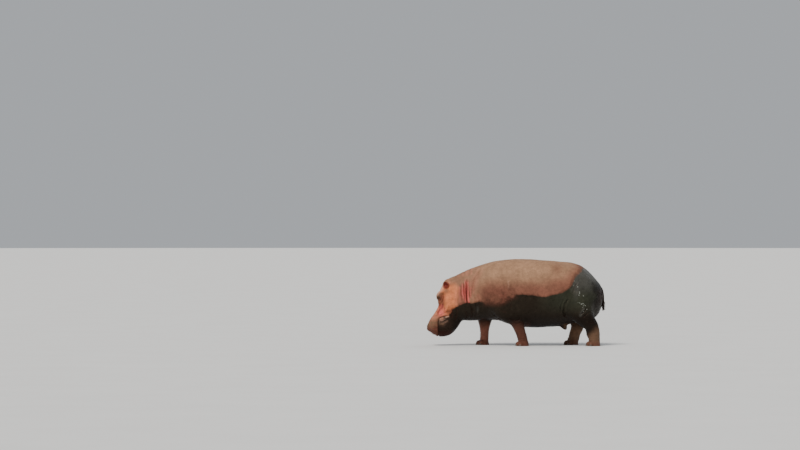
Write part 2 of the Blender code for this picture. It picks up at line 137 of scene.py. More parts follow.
def latticeNoise(points, size, seed):
    # random values at the corners of cubes of the size, eased into each other between the corners
    table = np.random.default_rng(seed).random((32, 32, 32)).astype(np.float32)
    place = points / np.asarray(size)
    cell = np.floor(place).astype(int)
    f = place - cell
    f = f * f * (3 - 2 * f)
    total = np.zeros(len(points))
    for corner in range(8):
        pick = np.array((corner & 1, corner >> 1 & 1, corner >> 2 & 1))
        i, j, k = ((cell + pick) % 32).T
        total += table[i, j, k] * np.prod(np.where(pick, f, 1 - f), axis=1)
    return total


def lineNoise(points, size, seed, width):
    # 1 along the winding lines where the noise passes its middle value, falling off either side
    return hill(latticeNoise(points, size, seed) - 0.5, width)


def reachAlong(path):
    # how far along a path each of its points lies, as the sum of the straight runs up to it
    return np.concatenate([[0], np.cumsum(np.linalg.norm(np.diff(path, axis=0), axis=1))])


def pathThrough(knots, count):
    # evenly read points on a smooth curve through the knots
    knots = np.asarray(knots, float)
    reach = reachAlong(knots)
    return smoothThrough(reach, knots, np.linspace(0, reach[-1], count))


def nearPath(points, path):
    # distance to the nearest stretch of an open path, the share of the path there, and the side
    # of the path, from the turn between the stretch and the way to the point
    best = np.full(len(points), 1e9)
    share = np.zeros(len(points))
    turn = np.zeros(len(points))
    for n, (start, end) in enumerate(zip(path[:-1], path[1:])):
        run = end - start
        way = points - start
        t = np.clip(way @ run / (run @ run), 0, 1)
        gap = way - t[:, None] * run
        distance = np.sqrt((gap * gap).sum(axis=1))
        nearer = distance < best
        best = np.where(nearer, distance, best)
        share = np.where(nearer, (n + t) / (len(path) - 1), share)
        if points.shape[1] == 2:
            turn = np.where(nearer, run[0] * way[:, 1] - run[1] * way[:, 0], turn)
    return best, share, np.sign(turn)


def ringShell(rings):
    # quads between neighbouring rings, and a fan from each end ring to its middle
    count, around = rings.shape[:2]
    points = np.concatenate([rings.reshape(-1, 3), rings[[0, -1]].mean(axis=1)])
    ring, spoke = np.meshgrid(np.arange(count - 1), np.arange(around), indexing="ij")
    here, there = ring * around, (ring + 1) * around
    beside = (spoke + 1) % around
    quads = np.stack([here + spoke, here + beside, there + beside, there + spoke], axis=-1).reshape(-1, 4)
    turn = np.arange(around)
    following = (turn + 1) % around
    first, last = len(points) - 2, len(points) - 1
    final = (count - 1) * around
    fans = np.concatenate([
        np.stack([following, turn, np.full(around, first)], axis=1),
        np.stack([final + turn, final + following, np.full(around, last)], axis=1),
    ])
    halves = np.concatenate([quads[:, :3], quads[:, [0, 2, 3]], fans])
    a, b, c = points[halves].transpose(1, 0, 2)
    if (a * np.cross(b, c)).sum() < 0:  # inside out
        quads, fans = quads[:, ::-1], fans[:, ::-1]
    return points, quads.tolist() + fans.tolist()


def meshOf(name, shells):
    # one object of all the shells, each with its own points
    points, faces = [], []
    start = 0
    for shellPoints, shellFaces in shells:
        points.append(shellPoints)
        faces += [[start + n for n in face] for face in shellFaces]
        start += len(shellPoints)
    mesh = bpy.data.meshes.new(name)
    mesh.from_pydata(np.concatenate(points).tolist(), [], faces)
    mesh.update()
    piece = bpy.data.objects.new(name, mesh)
    bpy.context.scene.collection.objects.link(piece)
    return piece


def rounded(angle, power):
    # cosine and sine round a superellipse, boxier the higher the power
    c, s = np.cos(angle), np.sin(angle)
    return np.sign(c) * np.abs(c) ** (2 / power), np.sign(s) * np.abs(s) ** (2 / power)


def roundAngles(count):
    # a full turn in equal steps, without its end
    return np.linspace(0, 2 * math.pi, count, endpoint=False)


def ellipsoidShell(centre, sizes, axes, count=22, around=32):
    # half circle of latitudes times a full turn, stretched by the sizes along the three axes
    latitude = np.linspace(0.06, math.pi - 0.06, count)[:, None]
    angle = roundAngles(around)[None]
    flat = np.stack(np.broadcast_arrays(
        np.sin(latitude) * np.cos(angle), np.sin(latitude) * np.sin(angle), np.cos(latitude)
    ), axis=-1)
    return ringShell(np.asarray(centre) + (flat * np.asarray(sizes)) @ np.asarray(axes))


# Trunk and neck from rump to nape: share of the length, back and belly as shares of the height,
# width as a share of the barrel's.
trunk = {
    "height": 1.46,
    "length": 2.61,
    "width": 1.09,
    "rump": 1.456,
    "boxiness": 2.2,
    "stations": (
        (0.000, 0.590, 0.590, 0.00),
        (0.014, 0.698, 0.410, 0.36),
        (0.041, 0.768, 0.335, 0.58),
        (0.075, 0.836, 0.300, 0.715),
        (0.110, 0.890, 0.286, 0.80),
        (0.148, 0.930, 0.272, 0.86),
        (0.206, 0.962, 0.252, 0.915),
        (0.275, 0.979, 0.228, 0.96),
        (0.355, 0.991, 0.214, 0.99),
        (0.440, 0.998, 0.205, 1.00),
        (0.524, 1.003, 0.212, 0.985),
        (0.620, 1.000, 0.256, 0.93),
        (0.689, 0.988, 0.296, 0.86),
        (0.739, 0.966, 0.292, 0.80),
        (0.797, 0.932, 0.288, 0.715),
        (0.854, 0.898, 0.281, 0.63),
        (0.912, 0.854, 0.290, 0.56),
        (0.965, 0.800, 0.350, 0.48),
        (1.000, 0.740, 0.480, 0.30),
    ),
}

# Head from inside the neck to the lips: distance along the face, then forehead, chin and widest
# level towards the crown, then half widths of the upper and the lower face.
head = {
    "length": 1.052,
    "boxiness": 2.5,
    "stations": (
        (-0.140, -0.080, -0.320, -0.20, 0.120, 0.150),
        (-0.050, 0.016, -0.370, -0.20, 0.180, 0.205),
        (0.060, 0.056, -0.405, -0.18, 0.200, 0.240),
        (0.160, 0.074, -0.420, -0.16, 0.204, 0.255),
        (0.250, 0.072, -0.428, -0.14, 0.192, 0.258),
        (0.350, 0.036, -0.430, -0.12, 0.168, 0.250),
        (0.450, 0.055, -0.424, -0.10, 0.156, 0.236),
        (0.550, 0.084, -0.405, -0.06, 0.172, 0.226),
        (0.650, 0.124, -0.378, -0.03, 0.210, 0.220),
        (0.740, 0.146, -0.340, -0.03, 0.238, 0.214),
        (0.820, 0.116, -0.286, -0.04, 0.232, 0.194),
        (0.885, 0.046, -0.190, -0.06, 0.178, 0.145),
        (0.912, -0.075, -0.075, -0.075, 0.000, 0.000),
    ),
}

# Each leg from inside the body to the sole: x, distance from the mid plane, z, then half sizes
# fore and aft and across.
legs = {
    "foreleg_left": (-1, (
        (-0.36, 0.26, 0.86, 0.26, 0.17),
        (-0.20, 0.32, 0.62, 0.200, 0.150),
        (-0.018, 0.325, 0.43, 0.124, 0.128),
        (0.032, 0.315, 0.31, 0.098, 0.103),
        (0.072, 0.300, 0.19, 0.084, 0.086),
        (0.096, 0.292, 0.10, 0.083, 0.088),
        (0.104, 0.288, 0.04, 0.092, 0.104),
        (0.106, 0.288, -0.02, 0.100, 0.114),
    )),
    "foreleg_right": (1, (
        (-0.44, 0.26, 0.86, 0.24, 0.17),
        (-0.50, 0.32, 0.62, 0.190, 0.150),
        (-0.530, 0.315, 0.43, 0.132, 0.122),
        (-0.533, 0.300, 0.31, 0.094, 0.098),
        (-0.535, 0.285, 0.19, 0.074, 0.083),
        (-0.540, 0.280, 0.10, 0.074, 0.086),
        (-0.548, 0.278, 0.04, 0.090, 0.104),
        (-0.550, 0.278, -0.02, 0.100, 0.114),
    )),
    "hindleg_left": (-1, (
        (1.02, 0.25, 0.90, 0.32, 0.22),
        (1.060, 0.32, 0.64, 0.250, 0.172),
        (1.150, 0.325, 0.46, 0.160, 0.135),
        (1.262, 0.32, 0.325, 0.118, 0.106),
        (1.280, 0.31, 0.22, 0.116, 0.096),
        (1.300, 0.305, 0.11, 0.096, 0.093),
        (1.300, 0.302, 0.04, 0.100, 0.108),
        (1.298, 0.302, -0.02, 0.108, 0.118),
    )),
    "hindleg_right": (1, (
        (0.98, 0.25, 0.90, 0.30, 0.22),
        (1.00, 0.32, 0.64, 0.240, 0.172),
        (1.045, 0.325, 0.46, 0.166, 0.132),
        (1.050, 0.32, 0.325, 0.116, 0.104),
        (1.015, 0.31, 0.22, 0.098, 0.090),
        (0.985, 0.305, 0.11, 0.094, 0.090),
        (0.965, 0.302, 0.04, 0.102, 0.108),
        (0.958, 0.302, -0.02, 0.110, 0.118),
    )),
}

foot = {
    "toeAngles": tuple(math.radians(a) for a in (-60, -20, 20, 60)),
    "toeSize": (0.060, 0.041, 0.050),  # outward, across, upright
    "toeReach": 0.80,
    "toeLevel": 0.028,
}

# Tail from inside the rump to the end of its flesh: x, z, half sizes across and fore and aft.
tail = {
    "stations": (
        (1.360, 1.000, 0.046, 0.046),
        (1.418, 0.950, 0.042, 0.042),
        (1.447, 0.870, 0.038, 0.035),
        (1.461, 0.790, 0.034, 0.027),
        (1.466, 0.710, 0.029, 0.021),
        (1.466, 0.664, 0.022, 0.017),
        (1.465, 0.640, 0.013, 0.011),
    ),
}

earForm = {
    "root": (0.088, 0.158, -0.006),  # along the face, sideways, towards the crown
    "upward": (-0.16, 0.46, 0.87),
    "opening": (-0.42, 0.90, 0.0),
    "bladeHeight": 0.068,
    "blade": (0.045, 0.023, 0.058),
    "stalk": (0.030, 0.024, 0.042),
}

bumps = {  # along, side, crown, then half sizes along, across, towards the crown
    "orbit": ((0.242, 0.146, 0.050), (0.090, 0.062, 0.076)),
    "brow": ((0.165, 0.112, 0.006), (0.150, 0.062, 0.080)),
    "crown": ((0.060, 0.095, -0.020), (0.140, 0.090, 0.088)),
    "tear": ((0.322, 0.132, 0.014), (0.095, 0.054, 0.062)),
    "snout": ((0.380, 0.088, -0.030), (0.180, 0.066, 0.086)),
    "cheek": ((0.310, 0.142, -0.100), (0.200, 0.084, 0.120)),
    "nostril": ((0.795, 0.088, 0.090), (0.080, 0.060, 0.060)),
    "tusk": ((0.735, 0.166, 0.000), (0.120, 0.080, 0.112)),
    "eyelid": ((0.268, 0.178, 0.082), (0.0325, 0.0325, 0.0325)),
}
sheath = {"centre": (0.785, 0, 0.345), "size": (0.105, 0.050, 0.052), "lean": (0.64, 0.77)}


def trunkShell():
    # superellipse sections whose spacing tightens towards the rump, so that it ends round
    table = np.array(trunk["stations"])
    reach = np.linspace(0, 1, 96)
    back, belly, width = smoothThrough(np.sqrt(table[:, 0]), table[:, 1:], reach).T[..., None]
    x = trunk["rump"] + lengthShift - trunk["length"] * reach[:, None] ** 2
    across, upright = rounded(roundAngles(96), trunk["boxiness"])
    y = trunk["width"] / 2 * width * across
    z = trunk["height"] * ((back + belly) / 2 + (back - belly) / 2 * upright)
    return ringShell(np.stack(np.broadcast_arrays(x, y, z), axis=-1))


def headShell():
    # superellipse sections across the face, whose upper and lower half widths ease into each other
    table = np.array(head["stations"])
    ahead = table[-1, 0] - table[:, 0]
    reach = np.linspace(0, 1, 96)
    rows = smoothThrough(np.sqrt(ahead / head["length"])[::-1], table[::-1, 1:], reach)
    crown, chin, level, upper, lower = rows.T[..., None]
    along = table[-1, 0] - head["length"] * reach[:, None] ** 2
    across, upright = rounded(roundAngles(96), head["boxiness"])
    side = (lower + (upper - lower) * (0.5 + 0.5 * np.tanh(3 * upright))) * across
    height = level + np.where(upright > 0, crown - level, level - chin) * upright
    return ringShell(
        poll + along[..., None] * noseward + side[..., None] * sideward + height[..., None] * crownward
    )


def sweptShell(path, foreSize, sideSize, rings, around):
    # ellipses square to a smooth path, with half sizes read along it
    knots = reachAlong(path)
    table = np.column_stack([path, foreSize, sideSize])
    rows = smoothThrough(knots, table, np.linspace(0, knots[-1], rings))
    centre, fore, broad = rows[:, :3], rows[:, 3:4], rows[:, 4:5]
    tangent = unitRows(np.gradient(centre, axis=0))
    sideways = unitRows(np.cross(tangent, np.broadcast_to((1.0, 0, 0), tangent.shape)))
    forward = np.cross(sideways, tangent)
    angle = roundAngles(around)[None, :, None]
    ring = forward[:, None] * (fore[:, None] * np.cos(angle))
    return ringShell(centre[:, None] + ring + sideways[:, None] * (broad[:, None] * np.sin(angle)))


def legShell(name):
    # a tube through the leg's stations, on the leg's own side
    side, stations = legs[name]
    table = np.array(stations)
    path = table[:, :3] * (1, side, 1) + (lengthShift, 0, 0)
    return sweptShell(path, table[:, 3], table[:, 4], 64, 48)


def tailShell():
    # a tube through the tail's stations, in the mid plane
    table = np.array(tail["stations"])
    path = np.column_stack([table[:, 0] + lengthShift, np.zeros(len(table)), table[:, 1]])
    return sweptShell(path, table[:, 3], table[:, 2], 40, 24)


def tailNearness(points):
    # 1 on the hanging part of the tail, 0 away from it
    table = np.array(tail["stations"])
    flat = np.column_stack([points[:, 0] - lengthShift, points[:, 2]])
    distance = nearPath(flat, table[:, :2])[0]
    fore = np.interp(points[:, 2], table[::-1, 1], table[::-1, 3])
    wide = np.interp(points[:, 2], table[::-1, 1], table[::-1, 2])
    reach = np.hypot(distance / fore, points[:, 1] / wide)
    return ramp(1.5 - reach, 0, 0.35) * ramp(1.03 - points[:, 2], 0, 0.06)


def toePlaces(name):
    # outward direction, sideways direction and middle of each toe of a foot
    side, stations = legs[name]
    x, y, _, fore, broad = stations[-1]
    for angle in foot["toeAngles"]:
        outward = np.array((-math.cos(angle), side * math.sin(angle), 0.0))
        reach = np.array((outward[0] * fore, outward[1] * broad, 0)) * foot["toeReach"]
        middle = np.array((x + lengthShift, side * y, foot["toeLevel"])) + reach
        yield outward, np.cross((0, 0, 1), outward), middle


def toeShells(name):
    # an ellipsoid for each toe, turned outwards
    return [
        ellipsoidShell(middle, foot["toeSize"], (outward, across, (0, 0, 1)))
        for outward, across, middle in toePlaces(name)
    ]


def earFrame(side):
    # the ear's root, then its directions across, towards its opening, and up
    along, outward, crown = earForm["root"]
    up = unit(np.array(earForm["upward"]) * (1, side, 1))
    opening = np.array(earForm["opening"]) * (1, side, 1)
    opening = unit(opening - (opening @ up) * up)
    return headPoint(along, side * outward, crown), np.cross(up, opening), opening, up


def earShells(side):
    # a rounded leaf whose back is a dome and whose front sinks into a cup, on a short stalk
    root, across, opening, up = earFrame(side)
    wide, _, tall = earForm["blade"]
    polar = np.linspace(0.05, math.pi - 0.05, 40)[:, None]  # 0 at the cup's middle, pi at the back's
    angle = roundAngles(48)[None]
    inPlane = np.sin(polar)
    depth = np.cos(polar)
    z = inPlane * np.sin(angle)
    x = inPlane * np.cos(angle) * (1 - 0.16 * z)
    lip = np.clip(np.abs(depth) / 0.14, 0, 1)
    sunk = np.clip((np.abs(depth) - 0.14) / 0.86, 0, 1)
    y = 0.004 + np.where(depth > 0, 0.0055 * lip - 0.028 * sunk, -0.0055 * lip - 0.022 * sunk**0.8)
    blade = (
        root + up * earForm["bladeHeight"]
        + (x * wide)[..., None] * across + y[..., None] * opening + (z * tall)[..., None] * up
    )
    stalk = ellipsoidShell(root + up * 0.014, earForm["stalk"], (across, opening, up), 14, 20)
    return [ringShell(blade), stalk]


def bodyShells():
    # every mass of the body, overlapping the next, flat where it would sink under the floor
    shells = [trunkShell(), headShell(), tailShell()]
    faceAxes = (noseward, sideward, crownward)
    for side in sides:
        for (along, out, crown), sizes in bumps.values():
            shells.append(ellipsoidShell(headPoint(along, side * out, crown), sizes, faceAxes))
        shells += earShells(side)
    x, z = sheath["lean"]
    leaning = ((x, 0, -z), (0, 1, 0), (z, 0, x))
    shells.append(ellipsoidShell(np.array(sheath["centre"]) + (lengthShift, 0, 0), sheath["size"], leaning))
    for name in legs:
        shells.append(legShell(name))
        shells += toeShells(name)
    for points, _ in shells:
        points[:, 2] = np.maximum(points[:, 2], 0)
    return shells


def applied(piece):
    # the mesh as its modifiers leave it
    bpy.context.view_layer.update()
    graph = bpy.context.evaluated_depsgraph_get()
    mesh = bpy.data.meshes.new_from_object(piece.evaluated_get(graph))
    old = piece.data
    piece.modifiers.clear()
    piece.data = mesh
    bpy.data.meshes.remove(old)
    return piece


def readPoints(mesh):
    # one row of x, y, z for each point
    flat = np.empty(len(mesh.vertices) * 3, np.float32)
    mesh.vertices.foreach_get("co", flat)
    return flat.reshape(-1, 3).astype(float)


def readNormals(mesh):
    # one row for each point's outward direction
    flat = np.empty(len(mesh.vertices) * 3, np.float32)
    mesh.vertex_normals.foreach_get("vector", flat)
    return flat.reshape(-1, 3).astype(float)


def writePoints(mesh, points):
    # moves the mesh's points to the rows
    mesh.vertices.foreach_set("co", points.astype(np.float32).ravel())
    mesh.update()


def weigh(piece, name, weights):
    # a vertex group painted in twenty steps of weight
    group = piece.vertex_groups.new(name=name)
    level = np.rint(np.clip(weights, 0, 1) * 20).astype(int)
    for step in range(1, 21):
        members = np.nonzero(level == step)[0]
        if len(members):
            group.add(members.tolist(), step / 20, "REPLACE")


def smoothed(piece, name, weights, passes, factor=0.5):
    # each pass moves a point by the factor towards its neighbours' mean, times its weight
    if weights is not None:
        weigh(piece, name, weights)
    smooth = piece.modifiers.new(name, "SMOOTH")
    smooth.factor, smooth.iterations = factor, passes
    smooth.vertex_group = name if weights is not None else ""


def refine(piece, chosen):
    # cuts every edge between the chosen points in two
    mesh = piece.data
    mesh.vertices.foreach_set("select", chosen)
    ends = np.empty(len(mesh.edges) * 2, np.int32)
    mesh.edges.foreach_get("vertices", ends)
    mesh.edges.foreach_set("select", chosen[ends].reshape(-1, 2).all(axis=1))
    mesh.polygons.foreach_set("select", np.zeros(len(mesh.polygons), bool))
    for other in bpy.context.selected_objects:
        other.select_set(False)
    piece.select_set(True)
    bpy.context.view_layer.objects.active = piece
    bpy.ops.object.mode_set(mode="EDIT")
    bpy.ops.mesh.subdivide(number_cuts=1, smoothness=0)
    bpy.ops.object.mode_set(mode="OBJECT")


skinMaking = {
    "voxel": 0.0065,
    "bodySpread": 0.105,  # how far smoothing reaches on the body, the face and the rest
    "faceSpread": 0.056,
    "lightSpread": 0.018,
    "triangles": 190000,
    "eyeCuts": (0.105, 0.062),  # how far from eye, nostril and lips the skin is cut finer
    "nostrilCuts": (0.075, 0.055),
    "lipCuts": 0.030,
}


def bodySkin():
    # one closed skin round all the masses, evenly remeshed, then smoothed most on the trunk
    skin = meshOf("skin", bodyShells())
    remesh = skin.modifiers.new("Remesh", "REMESH")
    remesh.mode = "VOXEL"
    remesh.voxel_size = skinMaking["voxel"]
    applied(skin)
    points = readPoints(skin.data)
    aboveFeet = np.clip((points[:, 2] - 0.20) / 0.15, 0, 1)
    behindFace = np.clip((points[:, 0] - lengthShift + 1.20) / 0.16, 0, 1)
    earness = earNearness(points)
    tailness = tailNearness(points)
    eyeness = np.max([
        ramp(0.075 - np.linalg.norm(points - eyeFrame(side)[0], axis=1), 0, 0.03) for side in sides
    ], axis=0)
    calm = (1 - earness) * (1 - tailness) * (1 - 0.9 * eyeness)
    for name, weights, spread in (
        ("Body", aboveFeet * behindFace * calm, skinMaking["bodySpread"]),
        ("Face", (1 - behindFace) * calm, skinMaking["faceSpread"]),
        ("Light", 1 - 0.85 * tailness, skinMaking["lightSpread"]),
    ):
        smoothed(skin, name, weights, round((spread / skinMaking["voxel"]) ** 2))
    applied(skin)
    skin.vertex_groups.clear()
    return skin


def earNearness(points):
    # 1 on the ears' blades, 0 away from them
    near = np.zeros(len(points))
    for side in sides:
        root, across, opening, up = earFrame(side)
        middle = root + up * earForm["bladeHeight"]
        gap = points - middle
        reach = np.sqrt(
            (gap @ across / 0.062) ** 2 + (gap @ opening / 0.050) ** 2 + (gap @ up / 0.070) ** 2
        )
        near = np.maximum(near, ramp(1.25 - reach, 0, 0.25))
    return near


def eyeFrame(side):
    # the eye's middle, then its directions outward, towards the nose, and up over the lid
    middle = headPoint(eyePlace["along"], side * eyePlace["side"], eyePlace["crown"])
    gaze = unit(0.18 * noseward + side * 0.86 * sideward + 0.46 * crownward)
    nose = unit(noseward - (noseward @ gaze) * gaze)
    return middle, gaze, nose, unit(np.cross(gaze, nose) * side)


# How a flat path is thrown onto the skin: from each pair of numbers, a place well outside the body
# and the direction of the throw.
throws = {
    "side": lambda k, side: ((k[0] + lengthShift, side * 1.5, k[1]), (0, -side, 0)),
    "rear": lambda k, side: ((3.0, side * k[0], k[1]), (-1, 0, 0)),
    "front": lambda k, side: ((-3.0, side * k[0], k[1]), (1, 0, 0)),
    "above": lambda k, side: ((k[0] + lengthShift, side * k[1], 3.0), (0, 0, -1)),
    "below": lambda k, side: ((k[0] + lengthShift, side * k[1], -1.0), (0, 0, 1)),
    "cheek": lambda k, side: (headPoint(k[0], side * 1.5, k[1]), (0, -side, 0)),
    "face": lambda k, side: (headPoint(k[0], side * k[1], 1.0), -crownward),
}


def throwPath(tree, view, knots, side, spacing=0.02):
    # a smooth path through the knots, read evenly and thrown onto the skin
    length = np.linalg.norm(np.diff(np.asarray(knots, float), axis=0), axis=1).sum()
    path = pathThrough(knots, max(3, round(length / spacing)))
    hits = []
    for pair in path:
        origin, direction = throws[view](pair, side)
        place = tree.ray_cast(Vector(origin), Vector(direction))[0]
        if place is not None:
            hits.append(place)
    if len(hits) < 2:
        return np.array(hits)
    hits = np.array(hits)
    reach = reachAlong(hits)
    dense = np.linspace(0, reach[-1], max(3, round(reach[-1] / 0.012)))
    between = np.column_stack([np.interp(dense, reach, hits[:, axis]) for axis in range(3)])
    return np.array([tree.find_nearest(Vector(place))[0] for place in between])


# Broad modelling: the view, how wide and how far out or in, then the path.
swells = (
    ("face", 0.055, -0.006, ((0.18, 0.0), (0.30, 0.0))),
    ("face", 0.060, -0.010, ((0.44, 0.150), (0.50, 0.155))),
    ("face", 0.034, -0.012, ((0.72, 0.0), (0.84, 0.0), (0.92, 0.0))),
    ("cheek", 0.050, -0.012, ((0.12, -0.045), (0.18, -0.050))),
    ("cheek", 0.070, -0.006, ((0.46, -0.06), (0.52, -0.10))),
    ("cheek", 0.080, 0.016, ((0.30, -0.27), (0.42, -0.26))),
    ("side", 0.090, -0.016, ((-0.66, 1.16), (-0.70, 0.98), (-0.70, 0.80))),
    ("side", 0.110, 0.012, ((-0.50, 1.12), (-0.46, 0.90), (-0.40, 0.72))),
    ("side", 0.090, -0.016, ((-0.20, 0.98), (-0.16, 0.80), (-0.18, 0.62))),
    ("side", 0.140, 0.010, ((0.30, 0.78), (0.55, 0.72))),
    ("side", 0.110, -0.020, ((0.84, 0.98), (0.78, 0.80), (0.76, 0.62))),
    ("side", 0.130, 0.014, ((1.06, 0.98), (1.08, 0.80))),
    ("above", 0.070, 0.012, ((1.02, 0.26), (1.10, 0.25))),
    ("above", 0.060, -0.006, ((-0.30, 0.0), (0.20, 0.0), (0.80, 0.0))),
    ("above", 0.090, -0.008, ((0.70, 0.20), (0.86, 0.22))),
    ("rear", 0.032, -0.010, ((0.070, 0.94), (0.066, 0.76), (0.060, 0.60))),
    ("rear", 0.070, 0.012, ((0.17, 0.84), (0.19, 0.70))),
    ("below", 0.045, -0.012, ((-0.46, 0.10), (-0.36, 0.14), (-0.26, 0.20))),
)

